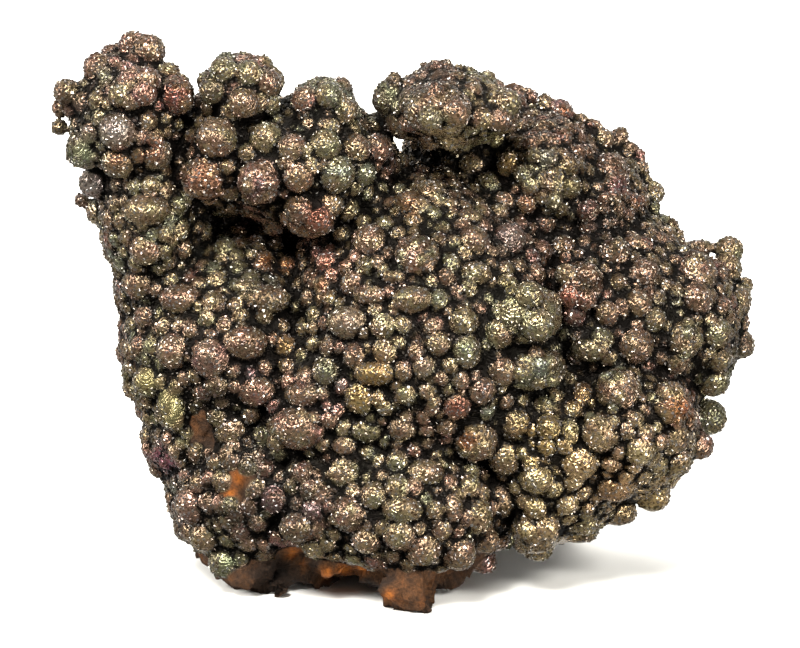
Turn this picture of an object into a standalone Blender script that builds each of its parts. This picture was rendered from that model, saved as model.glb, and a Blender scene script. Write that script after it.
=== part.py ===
"""Limonite specimen: a botryoidal crust on its earthy matrix, grown as one piece.

The specimen is described in steps of 0.14 mm on its display face: steps across from the
left, steps down from the top and steps deep from the nearest point.  The face leans back,
so the finished block is turned by FACE_LEAN before its feet are cut level.
"""

import math

import bmesh
import bpy
import numpy as np
from mathutils import Matrix, Vector, noise

# Driving dimensions.
NODE_NAME = "limonite_specimen"
STEP = 0.14e-3
FACE_LEAN = math.radians(15.0)
FACE_MIDDLE = (405.0, 320.0)
DRUSE = 0.30e-3
BALL_SINK = 0.10
VOXEL = 1.0e-3
TRIANGLES = 9300
BACK_PLANE = (255.0, 100.0, 0.24)
LEDGES = ((15.0e-3, 1.0e-3), (7.0e-3, 0.6e-3))
LEDGE_TILT = 0.25
LEDGE_BIAS = 1.2
CRAG = 0.5e-3
CRAG_SIZE = 5.0e-3
COVER_START = 0.6e-3
COVER_WIDTH = 1.2e-3
FLOOR_TIP = (612.0, 75.0)
ORIGIN = (-0.053e-3, 20.372e-3, 0.0)
SEED = 11

# Roughness, spread and number of layers of the crags' noise, and the mixing numbers of the lattice.
CRAG_NOISE = (0.8, 2.1, 3)
LATTICE_MIX = (127.1, 311.7, 74.7)
TURN_MIX = 1.7
LATTICE_SPREAD = 43758.5453

# The core: across, down, deep, then half the width, the height and the depth.
CORE = {
    "horn": (132, 120, 125, 56, 64, 72),
    "horn root": (156, 205, 165, 52, 90, 95),
    "top left mass": (225, 155, 145, 52, 62, 92),
    "top balls mass": (300, 165, 135, 95, 64, 98),
    "overhang": (445, 112, 130, 60, 38, 90),
    "overhang backing": (480, 150, 225, 72, 62, 75),
    "left shoulder": (168, 285, 190, 50, 52, 88),
    "left mass": (232, 345, 195, 110, 125, 130),
    "left waist": (212, 432, 195, 68, 62, 96),
    "lower left": (255, 480, 190, 85, 100, 115),
    "left foot": (258, 562, 168, 46, 40, 52),
    "centre": (425, 335, 165, 150, 165, 148),
    "lower centre": (405, 505, 150, 105, 88, 112),
    "tip": (411, 582, 102, 30, 34, 42),
    "upper right": (543, 182, 200, 60, 68, 95),
    "upper right shoulder": (598, 215, 215, 50, 62, 90),
    "right": (598, 325, 205, 125, 115, 125),
    "right lobe": (688, 325, 195, 50, 75, 75),
    "lower right": (622, 425, 170, 72, 78, 115),
    "back left": (300, 330, 255, 140, 150, 85),
    "back right": (520, 330, 255, 150, 130, 80),
    "recess backing": (275, 240, 232, 108, 62, 66),
    "saddle": (392, 220, 238, 62, 56, 64),
    "underside": (400, 474, 262, 150, 92, 100),
    "waist": (335, 400, 170, 100, 120, 118),
    "right waist": (548, 440, 170, 85, 105, 110),
    "lower waist": (325, 500, 165, 70, 88, 110),
    "back right foot": (478, 488, 315, 105, 68, 58),
    "back left foot": (312, 494, 312, 84, 64, 56),
}

# Balls that stand well out of the core: across, down, deep, radius.
PROUD_BALLS = [
    (242, 93, 88, 38), (324, 112, 84, 33), (311, 213, 74, 26), (150, 52, 105, 16), (134, 46, 112, 14),
    (100, 69, 100, 15), (176, 97, 78, 19), (170, 76, 92, 12), (68, 93, 105, 13), (437, 76, 110, 14),
]

# Balls that sit on the core: across, down, radius, or across, down, half width, half height.
HORN_BALLS = [
    (112, 56, 11), (107, 77, 8), (138, 92, 22), (134, 103, 9), (150, 82, 12), (62, 108, 9), (60, 128, 8),
    (78, 108, 14), (120, 133, 18), (157, 155, 16), (120, 163, 16), (185, 127, 14), (88, 150, 20),
    (95, 183, 15), (101, 211, 15), (147, 211, 23, 14), (147, 251, 15), (141, 284, 18, 15),
    (183, 299, 22, 14), (185, 199, 9), (201, 231, 11), (147, 317, 12), (153, 187, 9),
]
TOP_BALLS = [
    (215, 92, 14), (225, 74, 14), (250, 76, 13), (268, 85, 14), (245, 105, 15), (270, 105, 11),
    (306, 102, 13), (330, 98, 14), (345, 112, 13), (310, 126, 9), (328, 130, 14), (350, 130, 12),
    (325, 148, 16), (378, 127, 14), (376, 150, 15), (219, 140, 20), (207, 179, 22), (230, 190, 12),
    (262, 183, 22), (268, 140, 16), (250, 155, 10), (294, 150, 14), (300, 178, 15), (312, 168, 10),
    (356, 150, 14), (337, 175, 18), (365, 175, 11), (300, 210, 14), (330, 205, 14), (320, 222, 14),
    (345, 208, 15), (373, 203, 15), (380, 190, 8),
]
OVERHANG_BALLS = [
    (393, 100, 20), (412, 103, 14), (440, 105, 20), (455, 115, 14), (452, 128, 9), (430, 120, 12),
    (437, 112, 32, 25), (495, 113, 24), (508, 105, 12), (480, 120, 12), (498, 122, 12), (495, 140, 12),
    (487, 80, 9), (497, 87, 9), (468, 76, 9), (472, 92, 9), (399, 162, 10), (417, 168, 8),
]
LEFT_BALLS = [
    (245, 226, 13), (273, 226, 10), (206, 232, 9), (226, 249, 11), (305, 247, 8), (287, 266, 9),
    (328, 263, 11), (323, 286, 9), (348, 268, 8), (354, 284, 12), (265, 300, 25, 15), (247, 287, 17, 8),
    (215, 303, 11), (241, 317, 9), (298, 307, 8), (245, 342, 22, 16), (284, 346, 13), (175, 351, 17),
    (213, 357, 20), (288, 366, 8), (330, 347, 9), (328, 371, 15), (150, 381, 16), (174, 407, 16, 24),
    (152, 416, 10), (218, 384, 12), (257, 390, 20, 15), (305, 394, 19, 12), (299, 427, 28, 22),
    (233, 430, 17, 16), (251, 413, 10), (229, 452, 8), (141, 346, 10),
]
CENTRE_BALLS = [
    (452, 168, 14), (472, 170, 18), (490, 190, 18), (503, 205, 13), (409, 206, 15), (430, 195, 14),
    (450, 206, 8), (468, 218, 14, 8), (473, 242, 15), (508, 240, 16), (475, 274, 15, 11), (504, 271, 9),
    (533, 275, 11), (417, 258, 22), (378, 264, 8), (370, 243, 17), (396, 278, 14, 7), (413, 300, 21, 13),
    (372, 296, 18, 10), (350, 322, 22, 16), (384, 326, 13), (520, 315, 40, 32), (505, 287, 12),
    (528, 296, 14), (498, 333, 15), (536, 325, 16), (462, 322, 14), (438, 343, 11), (465, 350, 14, 17),
    (357, 356, 12), (385, 350, 12), (377, 372, 22, 12), (403, 370, 9), (423, 366, 10), (460, 379, 9),
    (480, 389, 14), (456, 405, 13), (485, 409, 9), (475, 438, 22), (362, 397, 16), (405, 393, 10),
    (385, 405, 9), (368, 429, 18, 12), (402, 427, 12), (370, 453, 13), (396, 442, 9), (414, 448, 10),
    (398, 460, 11), (330, 419, 9), (345, 444, 12), (347, 472, 20), (435, 453, 9), (425, 471, 18, 12),
    (469, 471, 10), (505, 455, 18), (513, 422, 20), (547, 427, 12), (569, 433, 9, 15),
    (525, 368, 40, 22), (501, 370, 16), (532, 361, 15), (547, 377, 14),
]
UPPER_RIGHT_BALLS = [
    (533, 113, 9), (519, 128, 7, 10), (532, 145, 9), (534, 157, 8), (547, 159, 9), (545, 140, 8),
    (553, 110, 10), (560, 112, 14), (562, 137, 10), (578, 153, 8), (590, 135, 8), (577, 130, 8),
    (509, 165, 12), (523, 175, 9), (530, 187, 8), (526, 203, 10), (553, 187, 9), (552, 200, 10),
    (568, 166, 11), (570, 187, 11), (605, 138, 10), (622, 134, 8), (612, 143, 12), (627, 152, 9),
    (640, 168, 10), (610, 170, 17), (617, 180, 12), (612, 197, 9), (636, 187, 9), (640, 200, 10),
    (633, 203, 10), (655, 192, 11), (588, 212, 12), (589, 228, 11), (643, 246, 9), (544, 223, 11),
    (563, 226, 12), (570, 215, 8), (528, 230, 8), (539, 252, 12), (563, 249, 13), (668, 235, 9),
    (665, 222, 8), (660, 240, 8), (518, 98, 8), (530, 95, 8), (547, 104, 8),
]
RIGHT_BALLS = [
    (580, 287, 23), (565, 275, 11), (587, 275, 11), (568, 296, 11), (585, 300, 10), (574, 313, 12),
    (614, 255, 16), (618, 283, 8), (643, 275, 16), (606, 313, 12), (636, 304, 14), (655, 298, 9),
    (652, 319, 12), (634, 345, 18), (600, 340, 12), (590, 349, 20, 12), (680, 339, 20), (674, 360, 14),
    (694, 275, 22), (693, 299, 18), (673, 291, 9), (701, 247, 16, 7), (731, 250, 14), (728, 268, 15),
    (747, 285, 8), (736, 301, 17), (740, 322, 11), (716, 333, 15), (719, 358, 13), (742, 345, 14),
    (713, 380, 17),
]
LOWER_RIGHT_BALLS = [
    (582, 398, 11, 16), (617, 392, 22, 23), (615, 364, 10), (600, 431, 20), (578, 461, 18),
    (665, 405, 23), (672, 437, 16), (710, 418, 18), (633, 419, 8), (638, 449, 15), (614, 485, 20, 16),
    (653, 495, 17), (618, 513, 19, 13), (584, 522, 13), (579, 535, 18, 8), (566, 503, 11),
    (572, 479, 10), (536, 478, 17, 14), (535, 526, 23, 27), (535, 506, 12), (526, 529, 10),
    (546, 526, 12), (538, 546, 16), (700, 446, 14), (676, 461, 14),
]
LOWER_BALLS = [
    (375, 494, 13), (399, 487, 13), (402, 508, 19, 13), (351, 511, 19), (367, 538, 14), (400, 532, 16),
    (423, 547, 17), (408, 560, 8), (458, 551, 17, 18), (434, 508, 9), (453, 506, 9, 14),
    (477, 514, 14, 18), (500, 497, 16, 20), (441, 528, 10), (468, 486, 12), (487, 540, 12),
    (507, 545, 8), (276, 497, 15), (304, 472, 11), (299, 526, 18, 14), (259, 521, 8), (158, 469, 9),
    (192, 503, 16, 20), (205, 536, 15), (227, 562, 18, 16), (245, 578, 18, 14), (278, 585, 11),
    (484, 562, 12), (330, 571, 16, 12), (390, 588, 14, 12),
]
FACE_BALLS = (HORN_BALLS + TOP_BALLS + OVERHANG_BALLS + LEFT_BALLS + CENTRE_BALLS
              + UPPER_RIGHT_BALLS + RIGHT_BALLS + LOWER_RIGHT_BALLS + LOWER_BALLS)

# Balls that wrap round the edge: their radii, and how deep the crust reaches on each side.
WRAP_RADII = (9.0, 16.0)
WRAP_TRIALS = 900
WRAP_DEPTH = 205.0
WRAP_WAVE = 30.0
WAVE_ACROSS, WAVE_DOWN = 37.0, 53.0
WRAP_SPACING = 1.25
WRAP_CROWD = 0.8
WRAP_SINK = 0.48

# A place on the core takes a wrapping ball if it is this far out of its neighbours, is turned
# no further to the front or to the floor than this, and lies this far above the sloping feet.
BURIED = 1.02
FRONT_TURN = -0.35
DOWN_TURN = 0.55
FOOT_SLOPE, FOOT_MARGIN = 0.27, 40.0


def clear_scene():
    """Remove every object that the scene starts with."""
    for item in list(bpy.data.objects):
        bpy.data.objects.remove(item, do_unlink=True)


def core_array():
    """The core's lumps as one array: centre and half sizes in steps."""
    return np.array(list(CORE.values()), dtype=float)


def face_depth(shapes, across, down):
    """Depth of the front of the shapes under a place on the face.

    A place just outside every shape takes the depth of the nearest shape's widest part.
    """
    gap_cost = 1000.0
    inside = 1.0 - ((across - shapes[:, 0]) / shapes[:, 3]) ** 2 - ((down - shapes[:, 1]) / shapes[:, 4]) ** 2
    front = shapes[:, 2] - shapes[:, 5] * np.sqrt(np.clip(inside, 0.0, None))
    nearest = np.argmin(front + gap_cost * np.clip(-inside, 0.0, None))
    return front[nearest]


def placed_balls():
    """Every ball of the face with its depth: a ball rests on the core and on much larger balls."""
    size_ratio = 1.6
    balls = [(a, d, deep, r, r, r) for a, d, deep, r in PROUD_BALLS]
    rows = [(row[0], row[1], row[2], row[-1]) for row in FACE_BALLS]
    rows.sort(key=lambda row: -row[2] * row[3])
    core = core_array()
    for across, down, wide, high in rows:
        thick = math.sqrt(wide * high)
        larger = [ball for ball in balls if min(ball[3:]) >= size_ratio * thick
                  and math.hypot(ball[0] - across, ball[1] - down) < min(ball[3:])]
        shapes = np.vstack([core] + [np.array([ball]) for ball in larger])
        deep = face_depth(shapes, across, down) + BALL_SINK * thick
        balls.append((across, down, deep, wide, high, thick))
    return balls


def spiral(count):
    """Even places on a unit ball: each is a golden angle further round and an equal drop lower."""
    index = np.arange(count)
    height = 1.0 - 2.0 * (index + 0.5) / count
    turn = math.pi * (3.0 - math.sqrt(5.0)) * index
    ring = np.sqrt(1.0 - height ** 2)
    return np.stack([ring * np.cos(turn), ring * np.sin(turn), height], 1)


def rim_places(row, neighbours, sphere):
    """Places on one lump of the core that a wrapping ball may take."""
    points = row[:3] + sphere * row[3:]
    normals = sphere / row[3:]
    normals /= np.linalg.norm(normals, axis=1, keepdims=True)
    inside = [(((points - other[:3]) / other[3:]) ** 2).sum(1) for other in neighbours]
    limit = WRAP_DEPTH + WRAP_WAVE * np.sin(points[:, 0] / WAVE_ACROSS + points[:, 1] / WAVE_DOWN)
    lowest = FLOOR_TIP[0] - FOOT_SLOPE * (points[:, 2] - FLOOR_TIP[1]) - FOOT_MARGIN
    free = (np.min(inside, axis=0) > BURIED) & (points[:, 1] < lowest) & (points[:, 2] < limit)
    return points[free & (normals[:, 2] > FRONT_TURN) & (normals[:, 1] < DOWN_TURN)]


def wrapped_balls(face):
    """Balls scattered over the sides and the rim, where the crust turns out of sight."""
    generator = np.random.default_rng(SEED)
    core = core_array()
    sphere = spiral(WRAP_TRIALS)
    kept = []
    taken = np.array([ball[:4] for ball in face])
    for number, row in enumerate(core):
        for point in rim_places(row, np.delete(core, number, axis=0), sphere):
            radius = generator.uniform(*WRAP_RADII)
            apart = np.linalg.norm(taken[:, :3] - point, axis=1)
            if np.all(apart > WRAP_SPACING * np.maximum(radius, WRAP_CROWD * taken[:, 3])):
                inward = (row[:3] - point) / np.linalg.norm(row[:3] - point)
                kept.append((*(point + inward * WRAP_SINK * radius), radius, radius, radius))
                taken = np.vstack([taken, [*point, radius]])
    return kept


def to_metres(across, down, deep):
    """A place in steps as a point in metres, before the lean: x across, y deep, z up."""
    return Vector(((across - FACE_MIDDLE[0]) * STEP, deep * STEP, (FACE_MIDDLE[1] - down) * STEP))


def add_ball(bm, shape, extra, fineness):
    """Add one closed ball or oval, its half sizes grown by the druse that covers it."""
    place = Matrix.Translation(to_metres(*shape[:3]))
    half = [shape[3] * STEP + extra, shape[5] * STEP + extra, shape[4] * STEP + extra]
    bmesh.ops.create_icosphere(bm, subdivisions=fineness, radius=1.0,
                               matrix=place @ Matrix.Diagonal((*half, 1.0)))


def build_block(balls):
    """One mesh that holds the core and the balls, fused by a voxel remesh."""
    bm = bmesh.new()
    for shape in CORE.values():
        add_ball(bm, shape, 0.0, 4)
    for shape in balls:
        add_ball(bm, shape, DRUSE, 3)
    mesh = bpy.data.meshes.new("limonite_block")
    bm.to_mesh(mesh)
    bm.free()
    block = bpy.data.objects.new("limonite_block", mesh)
    bpy.context.collection.objects.link(block)
    fuse = block.modifiers.new("Fuse", "REMESH")
    fuse.mode = "VOXEL"
    fuse.voxel_size = VOXEL
    graph = bpy.context.evaluated_depsgraph_get()
    fused = bpy.data.meshes.new_from_object(block.evaluated_get(graph))
    bpy.data.objects.remove(block, do_unlink=True)
    return fused


def crust_cover(points, balls):
    """How far each point is from the crust: 0 on a ball, 1 on bare matrix."""
    rows = np.array(balls)
    centres = np.stack([(rows[:, 0] - FACE_MIDDLE[0]) * STEP, rows[:, 2] * STEP,
                        (FACE_MIDDLE[1] - rows[:, 1]) * STEP], 1)
    halves = rows[:, [3, 5, 4]] * STEP + DRUSE
    nearest = np.full(len(points), np.inf)
    for centre, half in zip(centres, halves):
        away = (np.sqrt((((points - centre) / half) ** 2).sum(1)) - 1.0) * half.mean()
        nearest = np.minimum(nearest, away)
    return np.clip((nearest - COVER_START) / COVER_WIDTH, 0.0, 1.0)


def chance(cells, turn):
    """A number from 0 to 1 for each cell of a lattice, the same on every run."""
    mixed = np.sin(cells @ np.array(LATTICE_MIX) + TURN_MIX * turn) * LATTICE_SPREAD
    return mixed - np.floor(mixed)


def ledge_relief(points, size, drop):
    """Broken faces: each cell of an uneven lattice has its own height and its own tilt."""
    home = np.floor(points / size)
    nearest = np.full(len(points), np.inf)
    relief = np.zeros(len(points))
    for step in np.ndindex(3, 3, 3):
        cell = home + np.array(step) - 1.0
        seat = (cell + np.stack([chance(cell, turn) for turn in (1, 2, 3)], 1)) * size
        away = points - seat
        apart = (away ** 2).sum(1)
        tilt = np.stack([chance(cell, turn) for turn in (4, 5, 6)], 1) - 0.5
        height = drop * (2.0 * chance(cell, 7) - LEDGE_BIAS) + LEDGE_TILT * (away * tilt).sum(1)
        closer = apart < nearest
        relief = np.where(closer, height, relief)
        nearest = np.minimum(nearest, apart)
    return relief


def weather_matrix(mesh, balls):
    """Split the block off at its back, and break the bare matrix into ledges and crags."""
    count = len(mesh.vertices)
    points = np.empty(count * 3, dtype=np.float32)
    mesh.vertices.foreach_get("co", points)
    points = points.reshape(-1, 3).astype(float)
    deep, level, slope = BACK_PLANE
    back = (deep + slope * (FACE_MIDDLE[1] - points[:, 2] / STEP - level)) * STEP
    points[:, 1] = np.minimum(points[:, 1], back)
    mesh.vertices.foreach_set("co", points.astype(np.float32).ravel())
    mesh.update()
    normals = np.array([vertex.normal[:] for vertex in mesh.vertices])
    relief = sum(ledge_relief(points, size, drop) for size, drop in LEDGES)
    relief += CRAG * np.array([noise.fractal(Vector(point) / CRAG_SIZE, *CRAG_NOISE) for point in points])
    moved = points + normals * (crust_cover(points, balls) * relief)[:, None]
    mesh.vertices.foreach_set("co", moved.astype(np.float32).ravel())
    mesh.update()


def keep_largest_body(mesh):
    """Drop any crumb that the remesh left loose from the block."""
    bm = bmesh.new()
    bm.from_mesh(mesh)
    bm.verts.ensure_lookup_table()
    seen = set()
    bodies = []
    for start in bm.verts:
        if start in seen:
            continue
        body = [start]
        seen.add(start)
        for vertex in body:
            for edge in vertex.link_edges:
                other = edge.other_vert(vertex)
                if other not in seen:
                    seen.add(other)
                    body.append(other)
        bodies.append(body)
    bodies.sort(key=len)
    for body in bodies[:-1]:
        bmesh.ops.delete(bm, geom=body, context="VERTS")
    bm.to_mesh(mesh)
    bm.free()


def stand_up(mesh):
    """Lean the face back, and bring the cut floor to z = 0 under the middle of the block."""
    tip = to_metres(FACE_MIDDLE[0], *FLOOR_TIP)
    lean = Matrix.Rotation(-FACE_LEAN, 4, "X")
    mesh.transform(Matrix.Translation(-(lean @ tip) - Vector(ORIGIN)) @ lean)


def make_material():
    """Dark, half metallic iron oxide with the soft gloss of its skin."""
    material = bpy.data.materials.new("iridescent_iron_oxide")
    material.use_nodes = True
    shader = material.node_tree.nodes["Principled BSDF"]
    shader.inputs["Base Color"].default_value = (0.085, 0.058, 0.038, 1.0)
    shader.inputs["Roughness"].default_value = 0.38
    shader.inputs["Metallic"].default_value = 0.45
    return material


def make_floor_cutter():
    """A box whose top face is the floor: what the specimen rests on is cut level there."""
    bm = bmesh.new()
    side = 0.3
    bmesh.ops.create_cube(bm, size=side, matrix=Matrix.Translation((0.0, 0.0, -side / 2.0)))
    mesh = bpy.data.meshes.new("floor_cutter")
    bm.to_mesh(mesh)
    bm.free()
    cutter = bpy.data.objects.new("floor_cutter", mesh)
    bpy.context.collection.objects.link(cutter)
    cutter.hide_render = True
    cutter.display_type = "WIRE"
    return cutter


def build():
    """Make the specimen: a fused block, weathered, leaned back and cut level at its feet."""
    clear_scene()
    face = placed_balls()
    balls = face + wrapped_balls(face)
    mesh = build_block(balls)
    weather_matrix(mesh, balls)
    keep_largest_body(mesh)
    stand_up(mesh)
    mesh.name = NODE_NAME
    specimen = bpy.data.objects.new(NODE_NAME, mesh)
    bpy.context.collection.objects.link(specimen)
    mesh.materials.append(make_material())
    thin = specimen.modifiers.new("Facets", "DECIMATE")
    thin.ratio = TRIANGLES / (2.0 * len(mesh.polygons))
    thin.use_collapse_triangulate = True
    level = specimen.modifiers.new("Feet", "BOOLEAN")
    level.operation = "DIFFERENCE"
    level.solver = "EXACT"
    level.object = make_floor_cutter()
    mesh.shade_smooth()
    print("balls read", len(face), "balls wrapped", len(balls) - len(face), "faces", len(mesh.polygons))


build()
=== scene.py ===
# %% [markdown]
# # An iridescent limonite specimen
# The real thing is a piece of iron oxide that grew in an open vein.  Earthy brown limonite, the
# matrix, carries a crust of rounded lumps, and every lump is covered with glossy grains, the druse.
# A film thinner than the wavelength of light gives the grains their gold, copper and rose tints.
#
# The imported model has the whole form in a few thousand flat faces.  This lesson grows the same
# lumps again, much finer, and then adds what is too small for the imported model: the small lumps,
# the druse, the crags of the matrix and the finish of both.

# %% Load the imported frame
import math

import bpy
import numpy as np
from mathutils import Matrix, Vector, kdtree, noise


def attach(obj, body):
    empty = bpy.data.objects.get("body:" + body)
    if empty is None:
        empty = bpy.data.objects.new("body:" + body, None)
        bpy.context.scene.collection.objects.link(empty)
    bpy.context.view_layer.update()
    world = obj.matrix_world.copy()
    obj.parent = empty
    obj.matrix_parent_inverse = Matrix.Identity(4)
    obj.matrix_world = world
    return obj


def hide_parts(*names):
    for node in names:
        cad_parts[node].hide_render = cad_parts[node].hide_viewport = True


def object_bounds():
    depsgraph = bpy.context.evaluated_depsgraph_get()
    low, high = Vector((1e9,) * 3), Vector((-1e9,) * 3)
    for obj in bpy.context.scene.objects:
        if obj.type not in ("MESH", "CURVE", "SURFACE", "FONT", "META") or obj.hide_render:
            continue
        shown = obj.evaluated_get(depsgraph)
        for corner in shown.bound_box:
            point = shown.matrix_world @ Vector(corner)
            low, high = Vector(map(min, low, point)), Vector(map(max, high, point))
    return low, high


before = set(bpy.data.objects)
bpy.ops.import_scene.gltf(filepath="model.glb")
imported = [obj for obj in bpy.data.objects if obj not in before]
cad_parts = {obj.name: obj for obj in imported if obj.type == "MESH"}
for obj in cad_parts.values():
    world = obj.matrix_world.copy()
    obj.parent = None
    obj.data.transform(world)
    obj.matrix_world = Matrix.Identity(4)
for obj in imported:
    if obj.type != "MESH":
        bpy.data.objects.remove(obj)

packed_low, packed_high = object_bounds()
print("packed box in mm", [round(1000 * side, 1) for side in packed_high - packed_low])

# %% [markdown]
# ## Places on the specimen
# The lumps were read off the display face in steps of 0.14 mm: steps across from the left, steps
# down from the top and steps deep behind the nearest point.  The face leans back by 15 degrees, so
# a place is first turned into metres and then leaned.  Both models use these same numbers, which
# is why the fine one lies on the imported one.

# %% Steps, lean and origin
STEP = 0.14e-3
FACE_LEAN = math.radians(15.0)
# In steps: the face's middle, across and down, and the tip that stands on the floor.
FACE_MIDDLE = (405.0, 320.0)
FLOOR_TIP = (405.0, 612.0, 75.0)
# In metres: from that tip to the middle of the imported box, on the floor.
ORIGIN = (-0.053e-3, 20.372e-3, 0.0)
SEED = 11


def face_place(steps):
    """Rows of across, down, deep in steps as x, y, z in metres, before the lean."""
    return np.stack([(steps[:, 0] - FACE_MIDDLE[0]) * STEP, steps[:, 2] * STEP,
                     (FACE_MIDDLE[1] - steps[:, 1]) * STEP], 1)


def leaned(points):
    """Turn points about X by the lean: y and z mix by the lean's cosine and sine."""
    cosine, sine = math.cos(FACE_LEAN), math.sin(FACE_LEAN)
    return np.stack([points[:, 0], points[:, 1] * cosine + points[:, 2] * sine,
                     points[:, 2] * cosine - points[:, 1] * sine], 1)


def stood(points):
    """Lean the points and bring the lowest tip of the face to the floor."""
    tip = leaned(face_place(np.array([FLOOR_TIP])))[0]
    return leaned(points) - tip - np.array(ORIGIN)


def in_packed_box(points):
    """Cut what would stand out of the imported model's box, a few tenths of a millimetre at most."""
    return np.clip(points, np.array(packed_low), np.array(packed_high))


print("middle of the face", stood(face_place(np.array([(*FACE_MIDDLE, FLOOR_TIP[2])])))[0].round(4))

# %% [markdown]
# ## Camera, floor and light
# The camera looks straight at the leaned face from a metre and a half away, with a long lens, so
# that it sees the lumps as they were measured.  A plain pale floor runs out of the picture on all
# sides.
#
# Facets that shine like little mirrors show whatever is round them.  So a key lamp from above gives
# the sharp glints, and four weaker ones reach the facets that turn to the sides, down and up.  The
# room is brighter behind the specimen than in front of it, which lays a silvery light on facets
# seen edge on.  The floor is kept out of the reflections, or the undersides would look washed out.

# %% Camera
# Size of the picture and the depth that its scale is true for, in steps, and the camera's distance.
PICTURE = (800, 648)
SEEN_DEPTH = 150.0
CAMERA_AWAY = 1.5


def make_camera():
    """A long lens whose picture is as wide as its own steps across, at the depth of the rim."""
    data = bpy.data.cameras.new("camera")
    data.lens = data.sensor_width * CAMERA_AWAY / (PICTURE[0] * STEP)
    camera = bpy.data.objects.new("camera", data)
    bpy.context.scene.collection.objects.link(camera)
    aim = stood(face_place(np.array([(PICTURE[0] / 2, PICTURE[1] / 2, SEEN_DEPTH)])))[0]
    back = Vector((0.0, -math.cos(FACE_LEAN), math.sin(FACE_LEAN)))
    camera.location = Vector(aim) + back * CAMERA_AWAY
    camera.rotation_euler = (-back).to_track_quat("-Z", "Y").to_euler()
    bpy.context.scene.camera = camera
    return camera


camera = make_camera()
print("lens in mm", round(camera.data.lens))


# %% Colours and nodes
def linear(hex_colour):
    """sRGB hex to linear: a straight line near black, and a 2.4 power above it."""
    values = [int(hex_colour[place:place + 2], 16) / 255.0 for place in (1, 3, 5)]
    return [v / 12.92 if v <= 0.04045 else ((v + 0.055) / 1.055) ** 2.4 for v in values]


def add_node(tree, kind, inputs=None, **settings):
    """Add one node: settings are its own, inputs maps a socket to a plain value or to an output."""
    node = tree.nodes.new(kind)
    for name, value in settings.items():
        setattr(node, name, value)
    for socket, value in (inputs or {}).items():
        if isinstance(value, bpy.types.NodeSocket):
            tree.links.new(value, node.inputs[socket])
        else:
            node.inputs[socket].default_value = value
    return node


def new_material(name):
    """A material with no nodes in it yet, and its tree."""
    material = bpy.data.materials.new(name)
    material.use_nodes = True
    material.node_tree.nodes.clear()
    return material, material.node_tree


print("mid grey is", round(linear("#808080")[0], 3), "in linear light")

# %% Floor
CARD = "#ecece8"
CARD_ROUGHNESS = 0.9
FLOOR_HALF = 4.0


def make_floor():
    """A level sheet: x and y run over a square, and z stays 0.

    Its finish is matt white card, which gives the eye a soft, even ground with no shine."""
    half = FLOOR_HALF
    corners = [(-half, -half, 0.0), (half, -half, 0.0), (half, half, 0.0), (-half, half, 0.0)]
    mesh = bpy.data.meshes.new("floor")
    mesh.from_pydata(corners, [], [(0, 1, 2, 3)])
    floor = bpy.data.objects.new("floor", mesh)
    bpy.context.scene.collection.objects.link(floor)
    material, tree = new_material("matt_white_card")
    shader = add_node(tree, "ShaderNodeBsdfPrincipled", {
        "Base Color": (*linear(CARD), 1.0), "Roughness": CARD_ROUGHNESS})
    add_node(tree, "ShaderNodeOutputMaterial", {"Surface": shader.outputs["BSDF"]})
    mesh.materials.append(material)
    floor.visible_glossy = False
    return floor


print("stage", make_floor().name)

# %% Lamps and room light
# Each lamp: name, the direction it shines from, its strength and how wide it looks, in degrees.
LAMPS = [
    ("key", (-0.30, -0.75, 1.00), 6.8, 18.0),
    ("right", (0.80, -0.60, 0.80), 3.2, 18.0),
    ("left", (-1.00, -0.15, 0.55), 5.0, 22.0),
    ("low right", (0.85, -0.90, 0.00), 5.2, 24.0),
    ("top", (0.10, 0.45, 1.00), 2.0, 20.0),
]
LAMP_WHITE = "#fffcf7"
ROOM_WHITE = "#f0f0ee"
# Strength of the room's light from the front and the sides, and from behind.  It rises from one to
# the other between directions with no +Y in them and directions with this much.
FRONT_LIGHT, BACK_LIGHT = 0.20, 1.20
BACK_TURN = 0.6


def make_lamps():
    """Far lamps: each is a disc of light that looks equally wide from everywhere."""
    for name, direction, strength, width in LAMPS:
        data = bpy.data.lights.new(name, "SUN")
        data.energy = strength
        data.color = linear(LAMP_WHITE)
        data.angle = math.radians(width)
        lamp = bpy.data.objects.new(name, data)
        lamp.rotation_euler = Vector(direction).to_track_quat("Z", "Y").to_euler()
        bpy.context.scene.collection.objects.link(lamp)


def make_room():
    """Room light whose strength depends on the direction that it comes from."""
    world = bpy.data.worlds.new("room")
    world.use_nodes = True
    tree = world.node_tree
    tree.nodes.clear()
    direction = add_node(tree, "ShaderNodeTexCoord").outputs["Generated"]
    toward = add_node(tree, "ShaderNodeSeparateXYZ", {"Vector": direction})
    glow = add_node(tree, "ShaderNodeMapRange", {
        "Value": toward.outputs["Y"], "From Min": 0.0, "From Max": BACK_TURN,
        "To Min": FRONT_LIGHT, "To Max": BACK_LIGHT})
    sky = add_node(tree, "ShaderNodeBackground", {
        "Color": (*linear(ROOM_WHITE), 1.0), "Strength": glow.outputs["Result"]})
    add_node(tree, "ShaderNodeOutputWorld", {"Surface": sky.outputs["Background"]})
    bpy.context.scene.world = world
    bpy.context.scene.view_settings.view_transform = "Standard"


make_lamps()
make_room()
print("lamps", [lamp[0] for lamp in LAMPS])
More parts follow.
